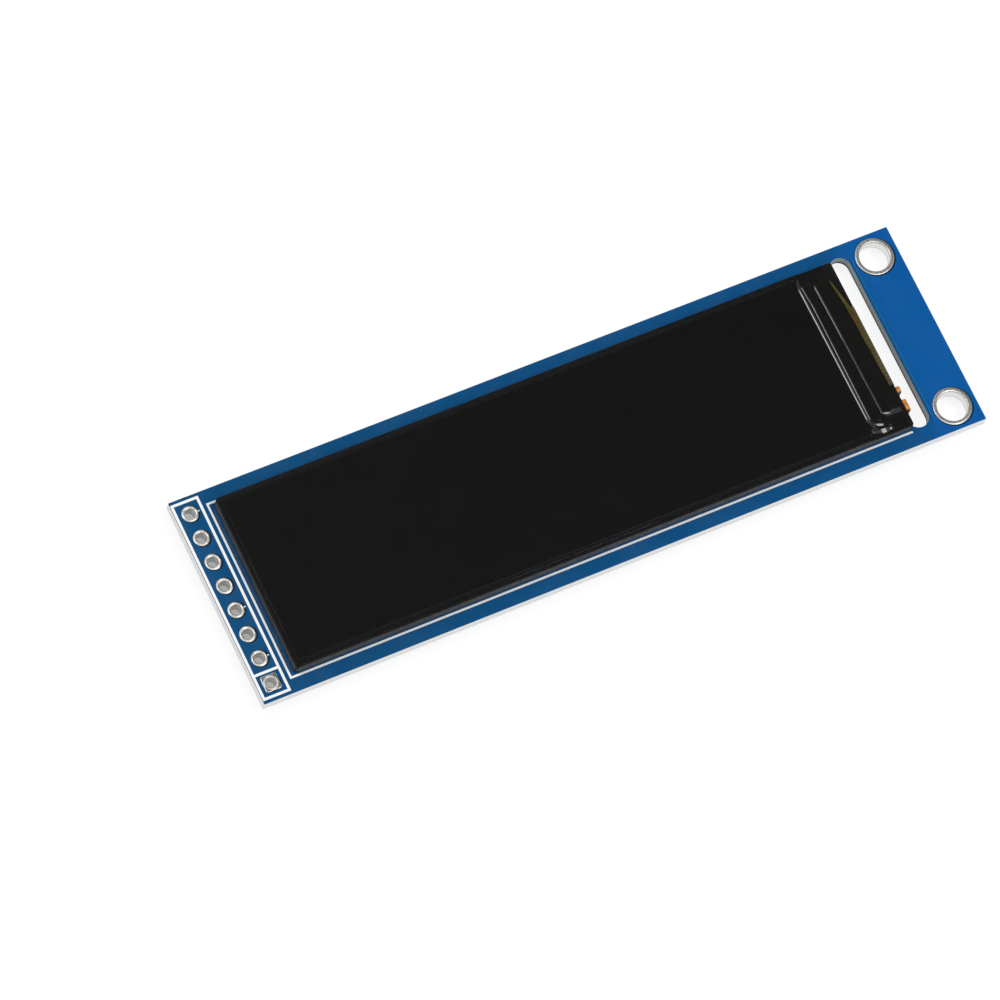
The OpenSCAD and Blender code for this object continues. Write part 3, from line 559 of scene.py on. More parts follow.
def makePiece(name, grids, slotName, standsFor=(), flatSides=False, look=None):
    # grids holds (points, closeRows, closeCols); doubled points are merged, so seams and poles close
    points, faces, start = [], [], 0
    for grid, closeRows, closeCols in grids:
        rows, cols = grid.shape[:2]
        faces.append(gridFaces(rows, cols, closeRows, closeCols) + start)
        points.append(grid.reshape(-1, 3))
        start += rows * cols
    points, faces = np.concatenate(points) * mm, np.concatenate(faces)
    mesh = bpy.data.meshes.new(name)
    mesh.vertices.add(len(points))
    mesh.vertices.foreach_set("co", points.astype(np.float32).ravel())
    mesh.loops.add(faces.size)
    mesh.loops.foreach_set("vertex_index", faces.astype(np.int32).ravel())
    mesh.polygons.add(len(faces))
    mesh.polygons.foreach_set("loop_start", np.arange(0, faces.size, 4, dtype=np.int32))
    mesh.update(calc_edges=True)
    shell = bmesh.new()
    shell.from_mesh(mesh)
    bmesh.ops.remove_doubles(shell, verts=shell.verts, dist=meshSet["merge"])
    bmesh.ops.recalc_face_normals(shell, faces=shell.faces)
    shell.to_mesh(mesh)
    shell.free()
    if flatSides:
        shadeFlats(mesh)
    else:
        mesh.polygons.foreach_set("use_smooth", np.ones(len(mesh.polygons), bool))
        mesh.set_sharp_from_angle(angle=math.radians(meshSet["crease"]))
    addPiece(name, mesh, slotName, standsFor, look)


def softenedCopy(name, node, edge, segments=2):
    # the CAD solid again, with its doubles merged, its flat faces joined and its sharp edges rounded
    mesh = nodes[node].data.copy()
    mesh.name = name
    for layer in [a for a in mesh.attributes if a.name == "custom_normal"]:
        mesh.attributes.remove(layer)
    shell = bmesh.new()
    shell.from_mesh(mesh)
    bmesh.ops.remove_doubles(shell, verts=shell.verts, dist=meshSet["merge"])
    flat, rounded = (math.radians(meshSet[k]) for k in ("flat", "rounded"))
    bmesh.ops.dissolve_limit(shell, angle_limit=flat, verts=shell.verts, edges=shell.edges)
    sharp = [e for e in shell.edges if len(e.link_faces) == 2 and e.calc_face_angle() > rounded]
    bmesh.ops.bevel(
        shell, geom=sharp, offset=edge * mm, segments=segments,
        profile=0.5, affect="EDGES", clamp_overlap=True,
    )
    bmesh.ops.triangulate(shell, faces=[f for f in shell.faces if len(f.verts) > 4])
    shell.to_mesh(mesh)
    shell.free()
    shadeFlats(mesh)
    addPiece(name, mesh, slotOf[node], [node])


def roundedBlock(low, high, radius, steps=4, draft=0.0):
    # a box plus a ball: each direction n on the sphere gives the box corner that it points to
    # plus radius * n. Each quarter's border direction is listed twice, so the flat sides open
    # between the quarters
    quarter = np.linspace(0, math.pi / 2, steps + 1)
    turn = np.concatenate([quarter + k * math.pi / 2 for k in range(4)])[None, :]
    rise = np.concatenate([quarter[::-1], -quarter])[:, None]
    toX = np.repeat([1, -1, -1, 1], steps + 1)[None, :]
    toY = np.repeat([1, 1, -1, -1], steps + 1)[None, :]
    toZ = np.repeat([1, -1], steps + 1)[:, None]
    centre, half = (low + high) / 2, (high - low) / 2 - radius
    points = np.stack(np.broadcast_arrays(
        toX * half[0] + radius * np.cos(rise) * np.cos(turn),
        toY * half[1] + radius * np.cos(rise) * np.sin(turn),
        toZ * half[2] + radius * np.sin(rise),
    ), -1)
    points[..., :2] *= 1 - draft * np.abs(points[..., 2:]) / (half[2] + radius)  # moulded sides lean in
    cap = np.zeros((1, points.shape[1], 3))
    top = cap + [0, 0, half[2] + radius]
    return np.concatenate([top, points, -top]) + centre, False, True


# panel: film, glass and frame with small rounded edges

panelSet = {"filmEdge": 0.03, "filmSteps": 5, "glassEdge": 0.012, "frameEdge": 0.04, "cableEdge": 0.012}
film = roundedBlock(polarizerLow, polarizerHigh, panelSet["filmEdge"], panelSet["filmSteps"])
makePiece("polarizerFilm", [film], "polarizer_film", ["front_polarizer"], flatSides=True)
softenedCopy("upperGlass", "colour_filter_glass", panelSet["glassEdge"])
softenedCopy("lowerGlass", "tft_glass", panelSet["glassEdge"])
softenedCopy("panelFrame", "backlight_frame", panelSet["frameEdge"])
softenedCopy("flexCable", "flex_cable", panelSet["cableEdge"], 1)
softenedCopy("lampStrip", "led_flex_strip", panelSet["cableEdge"], 1)
print("panel pieces done")


# plated holes: a spool section turned about the hole's axis

ringSet = {
    "pad": dict(outer=padOuter, lip=0.05, crown=0.05, wave=0.008),
    "ring": dict(outer=ringOuter, lip=0.06, crown=0.012, wave=0.003),
    "barrel": 0.05,  # wall of the barrel
    "face": 0.05,  # height of a pad above the board
    "fullness": 0.7,  # exponent of the crown, flatter below 1
    "edgeDrop": 0.8,  # fall of the outer edge, in lips
    "crownSteps": 13,
    "lipSteps": 5,
    "turns": 72,
    "phase": 1.7,  # turn of the waves from pad to pad
    "firstPhase": 0.6,
}
# square plate of the first pad; corner is the exponent of its outline
plateSet = {"inner": 0.6, "face": 0.04, "edge": 0.02, "corner": 9.0}
# tinned roots of traces beside these pads
tipSet = {"pads": (1, 3, 7), "length": 0.3, "width": 0.16, "height": 0.06, "overlap": 0.08}


def fullTurn(steps):  # angles all the way round
    return np.linspace(0, 2 * math.pi, steps, endpoint=False)[None, :]


def turned(x, y, r, angle, z):  # points around an upright axis
    return np.stack(np.broadcast_arrays(x + r * np.cos(angle), y + r * np.sin(angle), z), -1)


def platedHole(x, y, bore, outer, lip, crown, wave, phase=0.0):
    # the profile runs over the pad from the bore outwards, back along the board's face to the barrel,
    # and the same below; (r, z) is turned through a full circle, with two low waves around each pad
    across = np.linspace(0, 1, ringSet["crownSteps"])[1:-1]
    quarter = np.linspace(0, math.pi / 2, ringSet["lipSteps"])
    top = boardTop + ringSet["face"]
    lipR = bore + lip - lip * np.cos(quarter)
    lipZ = top - lip + lip * np.sin(quarter)
    crownR = bore + lip + (outer - 2 * lip - bore) * across
    crownZ = top + crown * np.sin(math.pi * across) ** ringSet["fullness"]
    edgeR = outer - lip + lip * np.sin(quarter)
    edgeZ = top - ringSet["edgeDrop"] * lip * (1 - np.cos(quarter))
    barrelR = bore + ringSet["barrel"]
    profileR = np.concatenate([lipR, crownR, edgeR, [outer, barrelR]])
    profileZ = np.concatenate([lipZ, crownZ, edgeZ, [boardTop, boardTop]])
    middle = (boardTop + boardBottom) / 2
    r = np.concatenate([profileR, profileR[::-1]])[:, None]
    z = np.concatenate([profileZ, 2 * middle - profileZ[::-1]])[:, None]
    angle = fullTurn(ringSet["turns"])
    onPad = np.clip((r - barrelR) / (outer - barrelR), 0, 1)
    raised = np.abs(z - middle) - (boardTop - middle)
    waves = wave * np.sin(2 * angle + phase) * np.clip(raised / ringSet["face"], 0, 1)
    z = z + np.sign(z - middle) * waves * 4 * onPad * (1 - onPad)
    return turned(x, y, r, angle, z), True, True


def squarePlate(x, y, outer, facing):
    # a flat plate with a round hole: its section (share of the way out, height) is turned about the axis,
    # and the way out ends at a superellipse, which is nearly a square
    inner, face, edge, power = (plateSet[k] for k in ("inner", "face", "edge", "corner"))
    angle = fullTurn(4 * ringSet["turns"])
    outline = outer / (np.abs(np.cos(angle)) ** power + np.abs(np.sin(angle)) ** power) ** (1 / power)
    quarter = np.linspace(0, math.pi / 2, ringSet["lipSteps"])
    drop = edge * (1 - np.cos(quarter))
    setIn = edge * (1 - np.sin(quarter))
    out = np.concatenate([[0, 0, 0.5], np.ones(len(quarter)), [1]])[:, None]
    back = np.concatenate([np.zeros(3), setIn, [0]])[:, None]
    height = np.concatenate([[0, face, face], face - drop, [0]])[:, None]
    r = inner + out * (outline - inner) - back
    level = boardTop if facing > 0 else boardBottom
    return turned(x, y, r, angle, level + facing * height), True, True


# ends: distances from a ridge's end in widths, and the share of its section there; steps across
ridgeSet = {"ends": ((0.06, 0.48), (0.22, 0.83), (0.5, 1.0)), "steps": 9}


def ridge(path, width, height, level, facing=1):
    # a low rounded line: half an ellipse across, carried along the path on mitred sides
    # and shrunk to nothing over half a width at both ends; facing -1 hangs it under the board
    path = np.asarray(path, float)
    ways = np.diff(path, axis=0)
    ways /= np.linalg.norm(ways, axis=1)[:, None]
    reach, share = np.array(ridgeSet["ends"]).T
    starts = path[0] + ways[0] * width * reach[:, None]
    ends = path[-1] - ways[-1] * width * reach[::-1, None]
    line = np.concatenate([path[:1], starts, path[1:-1], ends, path[-1:]])
    scale = np.concatenate([[0], share, np.ones(len(path) - 2), share[::-1], [0]])[:, None]
    steps = np.diff(line, axis=0)
    steps /= np.linalg.norm(steps, axis=1)[:, None]
    before, after = np.vstack([steps[:1], steps]), np.vstack([steps, steps[-1:]])
    mean = (before + after) / (1 + np.sum(before * after, 1))[:, None]
    side = np.stack([-mean[:, 1], mean[:, 0]], -1)
    angle = np.linspace(0, math.pi, ridgeSet["steps"])[None, :]
    out = width / 2 * scale * np.cos(angle)
    x = line[:, :1] + side[:, :1] * out
    y = line[:, 1:] + side[:, 1:] * out
    z = level + facing * height * scale * np.sin(angle)
    return np.stack([x, y, z], -1), False, True


boreR = mounts["header_hole_1"]["dims"]["r_mm"]
firstRing = {**ringSet["pad"], "outer": firstOuter}
pads = [platedHole(*padSpots[0][:2], boreR, phase=ringSet["firstPhase"], **firstRing)]
for i, spot in enumerate(padSpots[1:], 1):
    pads.append(platedHole(*spot[:2], boreR, phase=ringSet["phase"] * i, **ringSet["pad"]))
pads += [squarePlate(*padSpots[0][:2], padOuter, facing) for facing in (1, -1)]
for i in tipSet["pads"]:
    root = padSpots[i][:2] + [padOuter - tipSet["overlap"], 0]
    pads.append(ridge([root, root + [tipSet["length"], 0]], tipSet["width"], tipSet["height"], boardTop))
makePiece("headerPads", pads, "tin_plating", ["header_pads"])
holeR = holes["dims"]["hole_r_mm"]
rings = [platedHole(*spot[:2], holeR, phase=spot[1], **ringSet["ring"]) for spot in holeSpots]
makePiece("mountingRings", rings, "tin_plating", ["mounting_hole_rings"])
print("plated holes: %d pads, %d rings" % (len(padSpots), len(rings)))


# cover tape, drawn over the ledge

tapeShape = {
    "thick": 0.05,
    # falls beside what lies under the tape: towards the panel, the cable's end, the near side, the far side
    "glassFalls": (0.0, 0.143, 0.0, 0.0),
    "chipFalls": (2.0, 0.27, 0.13, 0.13),
    "cableFalls": (0.5, 0.0, 0.13, 0.13),
    "nearFall": 0.15,  # steeper fall beside the glass past the chip's near end
    "farEase": 0.85,  # share of the chip's fall that fades past its far end
    "crease": 0.012,  # rounding of the creases
    "blend": 0.004,  # how softly the tents meet
    "cutBack": 0.35,  # how far the slanted cut runs in at the far side
    "cutStart": 4.3,  # where that cut starts
    "cutOut": (0.24, 4.0, -4.0),  # how far the cut runs out over the cable, and between which places
    "wander": (0.02, 2.1),  # depth of the cut's waves, and radians along them for each mm
    "rows": 190,
    "cols": 250,
    "fine": (0.4, -6.2),  # share of the columns spent on the folds at the near end, and where those end
    # wrinkles: x and y of both ends, height, half width
    "wrinkles": [
        (26.48, 8.35, 26.26, 7.40, 0.034, 0.085),
        (26.26, 7.40, 26.36, -7.00, 0.046, 0.085),
        (26.56, 7.60, 26.72, 5.20, 0.034, 0.06),
        (26.72, 5.20, 26.70, 1.50, 0.034, 0.06),
        (26.70, 1.50, 26.62, -6.90, 0.037, 0.06),
        (27.78, 7.15, 27.89, 1.50, 0.052, 0.07),
        (27.89, 1.50, 28.00, -6.70, 0.047, 0.07),
        (28.01, -6.74, 28.75, -6.90, 0.026, 0.06),
        (28.75, -6.90, 29.25, -6.74, 0.022, 0.06),
        (26.36, -7.00, 26.62, -7.80, 0.050, 0.10),
        (26.75, -7.45, 27.55, -7.75, 0.045, 0.12),
        (26.45, -8.15, 28.20, -8.25, 0.068, 0.21),
    ],
}


def tent(x, y, low, high, falls):
    # the height of what lies under the tape, less the fall outside its outline, with a slope for each side
    fallX = falls[0] * np.maximum(low[0] - x, 0) + falls[1] * np.maximum(x - high[0], 0)
    fallY = falls[2] * np.maximum(low[1] - y, 0) + falls[3] * np.maximum(y - high[1], 0)
    return high[2] - np.sqrt(fallX ** 2 + fallY ** 2 + tapeShape["crease"] ** 2) + tapeShape["crease"]


def wrinkle(x, y, x0, y0, x1, y1, height, width):
    # a ridge along the straight line between two points, a bell curve of the distance from it
    along = ((x - x0) * (x1 - x0) + (y - y0) * (y1 - y0)) / ((x1 - x0) ** 2 + (y1 - y0) ** 2)
    t = np.clip(along, 0, 1)
    gap2 = (x - x0 - t * (x1 - x0)) ** 2 + (y - y0 - t * (y1 - y0)) ** 2
    return height * np.exp(-gap2 / width ** 2)


def cutEdge(y):
    # x of the tape's cut: it runs out over the cable towards the near side, slants in at the far side,
    # and wanders a little along a sine between
    slant = np.clip((y - tapeShape["cutStart"]) / (bondHigh[1] - tapeShape["cutStart"]), 0, 1)
    reach, start, end = tapeShape["cutOut"]
    runOut = reach * np.clip((start - y) / (start - end), 0, 1)
    depth, turns = tapeShape["wander"]
    return tapeHigh[0] + runOut - tapeShape["cutBack"] * slant - depth * (1 + np.sin(turns * y)) * (1 - slant)


def coverTapeGrids():
    # the tape lies on the smooth maximum of the tents of glass, chip and cable, plus the wrinkles
    share, fineEnd = tapeShape["fine"]
    steps = np.linspace(0, 1, tapeShape["cols"])
    y = np.interp(steps, (0, share, 1), (tapeLow[1], fineEnd, tapeHigh[1]))[None, :]
    x = tapeLow[0] + np.linspace(0, 1, tapeShape["rows"])[:, None] * (cutEdge(y) - tapeLow[0])
    near = np.clip((chipLow[1] - y) / (chipLow[1] - tapeLow[1]), 0, 1)
    far = np.clip((y - chipHigh[1]) / (tapeHigh[1] - chipHigh[1]), 0, 1)
    nearFall = tapeShape["nearFall"] * near ** 2 * (3 - 2 * near) * np.maximum(x - filterHigh[0], 0)
    toPanel, toCable, *beside = tapeShape["chipFalls"]
    chipFalls = (toPanel, toCable * (1 - tapeShape["farEase"] * far), *beside)
    tents = [
        tent(x, y, filterLow, filterHigh, tapeShape["glassFalls"]) - nearFall,
        tent(x, y, chipLow, chipHigh, chipFalls),
        tent(x, y, bondLow, bondHigh, tapeShape["cableFalls"]),
        ledgeTop + 0 * (x + y),
    ]
    soft = tapeShape["blend"]
    peak = np.maximum.reduce(tents)
    under = peak + soft * np.log(sum(np.exp((t - peak) / soft) for t in tents))
    under = under + sum(wrinkle(x, y, *w) for w in tapeShape["wrinkles"])
    sheet = np.stack(np.broadcast_arrays(x, y, under), -1)
    upper = sheet + [0, 0, tapeShape["thick"]]
    around = np.concatenate([upper, sheet[::-1]])  # over the top, then back along the underside
    nearWall = np.stack([upper[:, 0], sheet[:, 0]])
    farWall = np.stack([sheet[:, -1], upper[:, -1]])
    return [(around, True, False), (nearWall, False, False), (farWall, False, False)]


makePiece("ledgeTape", coverTapeGrids(), "cover_tape", ["ledge_cover_tape"])
print("ledge tape done")


# small parts on the back

partSet = {
    "bodyEdge": 0.06,
    "bodyDraft": 0.07,
    "chipEdge": 0.035,
    "terminalEdge": 0.045,
    "leadEdge": 0.02,
    "chipSteps": 3,  # facets of a rounded edge
    "bodySteps": 4,
    "filletReach": 0.28,
    "filletRise": 0.55,  # share of a terminal's height
    "footRise": 0.11,
    "filletSteps": 9,
    # places across a fillet from its middle to its end, and its share of the full size there
    "filletEnd": ((0, 1), (0.5, 1), (0.88, 0.9), (0.97, 0.55), (1, 0)),
}


def solderFillet(low, high, axis, way, reach, rise):
    # a concave slope of solder: rise * (1 - s) squared at the distance reach * s from the metal's face,
    # carried across the width and shrunk to nothing at both ends
    s = np.linspace(0, 1, partSet["filletSteps"])
    out = np.concatenate([[0], reach * s])[None, :]
    down = np.concatenate([[0], rise * (1 - s) ** 2])[None, :]
    half, size = np.array(partSet["filletEnd"]).T
    spread = np.concatenate([-half[:0:-1], half])[:, None]
    scale = np.concatenate([size[:0:-1], size])[:, None]
    across = 1 - axis
    points = np.zeros((len(spread), out.shape[1], 3))
    face = high[axis] if way > 0 else low[axis]
    points[..., axis] = face + way * out * scale
    points[..., across] = (low[across] + high[across]) / 2 + spread * (high[across] - low[across]) / 2
    points[..., 2] = high[2] - down * scale
    return points, False, True


def outward(low, high, bodies):  # axis and direction in which a terminal points away from its body
    centre = (low + high) / 2
    middle = min(((b[0] + b[1]) / 2 for b in bodies), key=lambda m: np.linalg.norm(m - centre))
    away = (centre - middle)[:2]
    axis = int(np.argmax(np.abs(away)))
    return axis, float(np.sign(away[axis]))


def blockPiece(name, node, boxes, *shape):  # rounded blocks in the boxes of a node's solids
    blocks = [roundedBlock(low, high, *shape) for low, high in boxes]
    makePiece(name, blocks, slotOf[node], [node], flatSides=True)


fillets, chipBodies = [], []
steps = partSet["chipSteps"]
for kind in ("capacitor", "resistor"):
    bodies = islands(kind + "_bodies")
    terminals = islands(kind + "_terminals")
    chipBodies += bodies
    blockPiece(kind + "Bodies", kind + "_bodies", bodies, partSet["chipEdge"], steps)
    blockPiece(kind + "Terminals", kind + "_terminals", terminals, partSet["terminalEdge"], steps)
    for low, high in terminals:
        rise = partSet["filletRise"] * (high[2] - low[2])
        fillets.append(solderFillet(low, high, *outward(low, high, bodies), partSet["filletReach"], rise))
leadedBodies = []
bodyShape = [partSet[k] for k in ("bodyEdge", "bodySteps", "bodyDraft")]
for kind in ("regulator", "transistor"):
    body = corners(kind + "_body")
    leadedBodies.append(body)
    blockPiece(kind + "Body", kind + "_body", [body], *bodyShape)
    softenedCopy(kind + "Leads", kind + "_leads", partSet["leadEdge"])
    for low, high in islands(kind + "_leads"):
        way = 1.0 if (low + high)[1] > sum(body)[1] else -1.0
        fillets.append(solderFillet(low, high, 1, way, partSet["filletReach"], partSet["footRise"]))
makePiece("solderFillets", fillets, "tin_plating")
print("back parts: %d fillets" % len(fillets))


# solder along the cable's end and the lamp tail's

# where the cable's edge lies along a joint, grid, width against the land's, exponents of climb and outline
jointSet = {"edge": 0.6, "rows": 25, "cols": 13, "swell": 1.12, "climb": 1.6, "plump": 0.35}


def solderJoint(low, high):
    # a drop of solder over the end of the cable: half an ellipse across, its depth a smooth rise
    # from the land to the cable's edge and a fall along the cable, with both ends drawn to a point
    u = np.linspace(0, 1, jointSet["rows"])[:, None]
    angle = np.linspace(0, math.pi, jointSet["cols"])[None, :]
    edge = jointSet["edge"]
    climb = np.sin(math.pi / 2 * np.minimum(u / edge, 1)) ** jointSet["climb"]
    fall = np.cos(math.pi / 2 * (u - edge) / (1 - edge))
    depth = (high[2] - low[2]) * np.clip(np.where(u < edge, climb, fall), 0, 1)
    plump = np.clip(np.sin(math.pi * u), 0, 1) ** jointSet["plump"]
    half = (high[1] - low[1]) / 2 * jointSet["swell"] * plump
    x = low[0] + u * (high[0] - low[0]) + 0 * angle
    y = (low[1] + high[1]) / 2 + half * np.cos(angle)
    z = high[2] - depth * plump * np.sin(angle)
    return np.stack([x, y, z], -1), False, True


joints = [solderJoint(low, high) for low, high in islands("flex_solder_joints")]
makePiece("cableJoints", joints, "tin_plating", ["flex_solder_joints"])
print("cable joints: %d" % len(joints))


# copper under the mask on the back: traces and vias

traceSet = {
    "width": 0.28,
    "height": 0.022,
    "lanePitch": 0.5,
    "laneMiddle": -0.15,
    "fanX": -34.4,  # where the traces leave the header straight
    "joinX": 16.3,  # where they spread to the cable's lands
    "padGap": 0.7,  # from a pad's axis to its trace
    "partGap": 0.9,  # from a part's middle to its trace
    "corner": 1.0,  # slanted corner of the supply's trace before its part
    "cornerOut": 0.7,  # and after it
    "landIn": 0.3,  # how far a trace runs onto a land
    "slack": 0.02,  # added to the last slanted run, so that it always has a length
    "tailGap": 6.0,  # joints nearer to the tape than this are the lamp tail's
}
viaSet = {
    "radius": 0.3,
    "height": 0.03,
    "ring": (0.62, 0.2),  # middle and spread of the raised ring, in shares of the radius
    "dimple": 0.25,  # height in the middle, as a share
    "edge": 6,  # exponent of the fall at the edge
    "rows": 12,
    "turns": 24,
    "spots": [
        (-31.5, -6.2), (-20.0, 6.8), (-12.0, -7.4), (-4.0, 7.2), (4.0, -7.0), (7.4, 6.6), (15.8, 7.6),
        (15.8, -7.6), (33.4, 0.0), (33.4, 3.2), (33.4, -3.2), (35.6, 5.0), (35.6, -5.0),
    ],
}


def via(x, y):
    # a tented via: a low ring with a dimple, its height a bell curve of the distance from the ring's middle
    share = np.concatenate([np.linspace(0, 1, viaSet["rows"]), [0]])[:, None]
    middle, spread = viaSet["ring"]
    bell = np.exp(-((share - middle) / spread) ** 2)
    lift = viaSet["height"] * (bell + viaSet["dimple"]) * (1 - share ** viaSet["edge"])
    lift[-1] = 0
    return turned(x, y, share * viaSet["radius"], fullTurn(viaSet["turns"]), boardBottom - lift), False, True


def supplyRoutes(spot, lane):
    # the last pad's trace runs to the capacitor nearest the header,
    # and on from the last small part before the board's middle
    middles = [(low + high)[:2] / 2 for low, high in chipBodies]
    supplyX, supplyY = middles[0]
    outX = max(x for x, y in middles if x < 0)
    corner, cornerOut = traceSet["corner"], traceSet["cornerOut"]
    into = [
        (spot[0] + traceSet["padGap"], spot[1]),
        (supplyX - corner, spot[1]),
        (supplyX, spot[1] - corner),
        (supplyX, supplyY + traceSet["partGap"]),
    ]
    onward = [(outX, supplyY - traceSet["partGap"]), (outX, lane + cornerOut), (outX + cornerOut, lane)]
    return into, onward


def backRoutes():
    # one route for each header pad: straight out, a 45 degree run to its lane, along the lanes,
    # and out to its land
    cableEnd = tapeLow[0] - traceSet["tailGap"]
    lands = [box for box in islands("flex_solder_joints") if box[0][0] < cableEnd]
    lands.sort(key=lambda box: box[0][1])
    lands = lands[(len(lands) - len(padSpots)) // 2:]
    fanX, joinX = traceSet["fanX"], traceSet["joinX"]
    last = len(padSpots) - 1
    routes = []
    for i, (spot, (low, high)) in enumerate(zip(padSpots, lands)):
        lane = traceSet["laneMiddle"] + (i - last / 2) * traceSet["lanePitch"]
        landY = (low[1] + high[1]) / 2
        toLand = [
            (joinX, lane),
            (joinX + abs(landY - lane) + traceSet["slack"], landY),
            (low[0] + traceSet["landIn"], landY),
        ]
        if i < last:
            start = [(spot[0] + traceSet["padGap"], spot[1]), (fanX, spot[1])]
            start.append((fanX + abs(lane - spot[1]), lane))
        else:
            into, start = supplyRoutes(spot, lane)
            routes.append(into)
        routes.append(start + toLand)
    return routes


traces = [ridge(path, traceSet["width"], traceSet["height"], boardBottom, -1) for path in backRoutes()]
vias = [via(x, y) for x, y in viaSet["spots"]]
makePiece("backTraces", traces + vias, "solder_mask", look="maskOverCopper")


# printed marks on the back

# width and height of a line, its distance from a part, how far it stops short, and what counts as a tall part
printSet = {"width": 0.16, "height": 0.02, "gap": 0.34, "inset": 0.02, "tall": 0.9}


def printedMarks():
    # two short lines beside each small part, and the header's box again
    lines = []
    for low, high in chipBodies + leadedBodies:
        long = int(np.argmax((high - low)[:2]))
        if high[2] - low[2] > printSet["tall"]:  # the three-lead bodies are marked at their ends
            long = 1 - long
        across = 1 - long
        for side in (low[across] - printSet["gap"], high[across] + printSet["gap"]):
            ends = np.zeros((2, 2))
            ends[:, across] = side
            ends[:, long] = (low[long] + printSet["inset"], high[long] - printSet["inset"])
            lines.append(ends)
    boxLow, boxHigh = min(islands("silkscreen_front"), key=lambda box: box[0][0])
    x0, y0 = boxLow[:2] + printSet["width"] / 2
    x1, y1 = boxHigh[:2] - printSet["width"] / 2
    loop = [(x0, y0), (x1, y0), (x1, y1), (x0, y1), (x0, y0)]
    lines += zip(loop, loop[1:])
    return [ridge(path, printSet["width"], printSet["height"], boardBottom, -1) for path in lines]


makePiece("backMarks", printedMarks(), "print_white")
print("traces: %d, vias: %d" % (len(traces), len(vias)))


# stage: white floor and backdrop that keep the shadow

# side of the floor in metres, its glow and tone where it is seen, its tone for light that it sheds on
# the object, and the sky's light on the object
stageSet = {"size": 6.0, "glow": 0.83, "pale": 0.22, "bounce": 0.95, "fill": 0.52}
# painted shadow: lower glow of the paper under the board, and where it changes: distances in from the
# outline, and before the slot
shadeSet = {"glow": 0.36, "outline": (0.4, 1.2), "slot": (7.0, 2.0)}


def seenDirectly(tree):  # 1 for camera, glossy and transmission rays
    path = addNode(tree, "ShaderNodeLightPath")
    direct = sums(tree, "MAXIMUM", path.outputs["Is Camera Ray"], path.outputs["Is Glossy Ray"])
    return sums(tree, "MAXIMUM", direct, path.outputs["Is Transmission Ray"])


def underBoard(tree):  # 1 under the board, where the paper is in shade, except near the slot
    x, y = axes(tree)[:2]
    start, end = shadeSet["outline"]
    fromEnd = easeMm(tree, x, boardLow[0] + start, boardLow[0] + end)
    fromSides = within(tree, y, boardHigh[1] - end, boardHigh[1] - start)
    start, end = (slotLow[0] - way for way in shadeSet["slot"])
    toSlot = easeMm(tree, x, start, end, 1.0, 0.0)
    return sums(tree, "MULTIPLY", sums(tree, "MULTIPLY", fromEnd, toSlot), fromSides)


def grey(tone):  # a neutral colour for a socket
    return (tone, tone, tone, 1)


def floorMaterial():
    material = bpy.data.materials.new("palePaper")
    material.use_nodes = True
    tree = material.node_tree
    tree.nodes.clear()
    output = addNode(tree, "ShaderNodeOutputMaterial")
    glow = addNode(tree, "ShaderNodeEmission")
    strength = ease(tree, underBoard(tree), 0, 1, stageSet["glow"], shadeSet["glow"])
    tree.links.new(strength, glow.inputs["Strength"])
    pale = addNode(tree, "ShaderNodeBsdfDiffuse")
    pale.inputs["Color"].default_value = grey(stageSet["pale"])
    bounce = addNode(tree, "ShaderNodeBsdfDiffuse")
    bounce.inputs["Color"].default_value = grey(stageSet["bounce"])
    both = addNode(tree, "ShaderNodeAddShader")
    pick = addNode(tree, "ShaderNodeMixShader")
    tree.links.new(glow.outputs[0], both.inputs[0])
    tree.links.new(pale.outputs[0], both.inputs[1])
    tree.links.new(seenDirectly(tree), pick.inputs[0])
    tree.links.new(bounce.outputs[0], pick.inputs[1])
    tree.links.new(both.outputs[0], pick.inputs[2])
    tree.links.new(pick.outputs[0], output.inputs["Surface"])
    return material


def stageSheet(name, centre, xAxis, yAxis, sides, material):  # a plain sheet, which isn't part of the object
    mesh = bpy.data.meshes.new(name)
    toX, toY = xAxis * sides[0] / 2, yAxis * sides[1] / 2
    points = [centre + toX * a + toY * b for a, b in ((-1, -1), (1, -1), (1, 1), (-1, 1))]
    mesh.from_pydata([tuple(p) for p in points], [], [(0, 1, 2, 3)])
    mesh.materials.append(material)
    sheet = bpy.data.objects.new(name, mesh)
    bpy.context.scene.collection.objects.link(sheet)
    return sheet


floorSides = (stageSet["size"], stageSet["size"])
stageSheet("floor", Vector((0, 0, 0)), Vector((1, 0, 0)), Vector((0, 1, 0)), floorSides, floorMaterial())

# a dim card where the level faces mirror it to the camera, so that glossy black stays black; in metres
cardSet = {"centre": (0.52, 0.30, 0.80), "sides": (0.95, 0.55), "tone": 0.16, "rough": 0.9}
cardMaterial = bpy.data.materials.new("dimCard")
cardMaterial.use_nodes = True
cardShader = cardMaterial.node_tree.nodes["Principled BSDF"]
cardShader.inputs["Base Color"].default_value = grey(cardSet["tone"])
cardShader.inputs["Roughness"].default_value = cardSet["rough"]
cardZ = -Vector(cardSet["centre"]).normalized()
cardX = Vector((0, 1, 0)).cross(cardZ).normalized()
cardY = cardZ.cross(cardX)
card = stageSheet("dimCard", Vector(cardSet["centre"]), cardX, cardY, cardSet["sides"], cardMaterial)
card.visible_camera = False

world = bpy.data.worlds.new("studio")
world.use_nodes = True
bpy.context.scene.world = world
sky = world.node_tree.nodes["Background"]
sky.inputs["Color"].default_value = grey(1)
strength = ease(world.node_tree, seenDirectly(world.node_tree), 0, 1, stageSet["fill"], 1.0)
world.node_tree.links.new(strength, sky.inputs["Strength"])

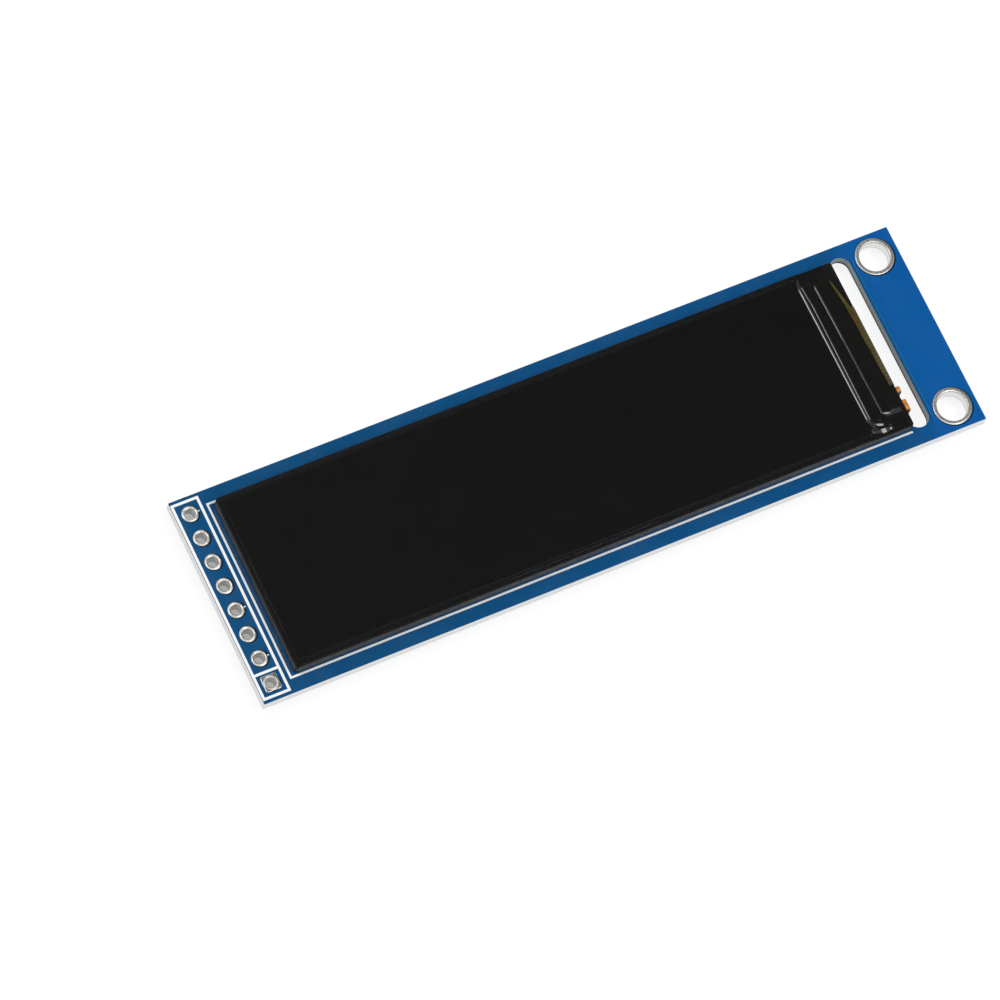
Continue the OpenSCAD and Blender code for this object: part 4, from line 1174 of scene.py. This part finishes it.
# soft boxes: direction from the object, the axis of the long side, distance and sides in metres, radiance
lampSet = {
    "leftBox": dict(
        toward=(-0.27, 0.28, 0.92), along=(1, 0, 0), distance=0.7, sides=(0.24, 0.14), radiance=11,
    ),
    "nearBox": dict(
        toward=(0.28, -0.26, 0.92), along=(0, 1, 0), distance=0.7, sides=(0.28, 0.17), radiance=11,
    ),
}
for name, lamp in lampSet.items():
    data = bpy.data.lights.new(name, "AREA")
    data.shape = "RECTANGLE"
    data.size, data.size_y = lamp["sides"]
    data.energy = lamp["radiance"] * math.pi * lamp["sides"][0] * lamp["sides"][1]
    lampZ = Vector(lamp["toward"]).normalized()
    lampX = Vector(lamp["along"])
    lampX = (lampX - lampZ * lampX.dot(lampZ)).normalized()
    lampObject = bpy.data.objects.new(name, data)
    turn = Matrix((lampX, lampZ.cross(lampX), lampZ)).transposed().to_4x4()
    lampObject.matrix_world = Matrix.Translation(lampZ * lamp["distance"]) @ turn
    bpy.context.scene.collection.objects.link(lampObject)
print("stage and lamps done")


# camera at the photograph's viewing angle: degrees, mm, and metres for the clipping distances

cameraSet = {
    "azimuth": -45.262,
    "elevation": 66.314,
    "roll": -21.383,
    "distance": 633.57,
    "aim": (-8.840, -0.663, 2.34),
    "lens": 247.24,
    "sensor": 36,
    "clip": (0.01, 20),
}
azimuth, elevation, roll = (math.radians(cameraSet[k]) for k in ("azimuth", "elevation", "roll"))
back = Vector((
    math.sin(azimuth) * math.cos(elevation),
    -math.cos(azimuth) * math.cos(elevation),
    math.sin(elevation),
))
level = Vector((0, 0, 1)).cross(back).normalized()  # the camera's right before its roll
up = back.cross(level) * math.cos(roll) + level * math.sin(roll)
cameraData = bpy.data.cameras.new("camera")
cameraData.lens = cameraSet["lens"]
cameraData.sensor_width = cameraSet["sensor"]
cameraData.clip_start, cameraData.clip_end = cameraSet["clip"]
camera = bpy.data.objects.new("camera", cameraData)
place = Vector(cameraSet["aim"]) * mm + back * cameraSet["distance"] * mm
camera.matrix_world = Matrix.Translation(place) @ Matrix((up.cross(back), up, back)).transposed().to_4x4()
bpy.context.scene.collection.objects.link(camera)
bpy.context.scene.camera = camera
bpy.context.scene.view_settings.view_transform = "Standard"
print("camera set")
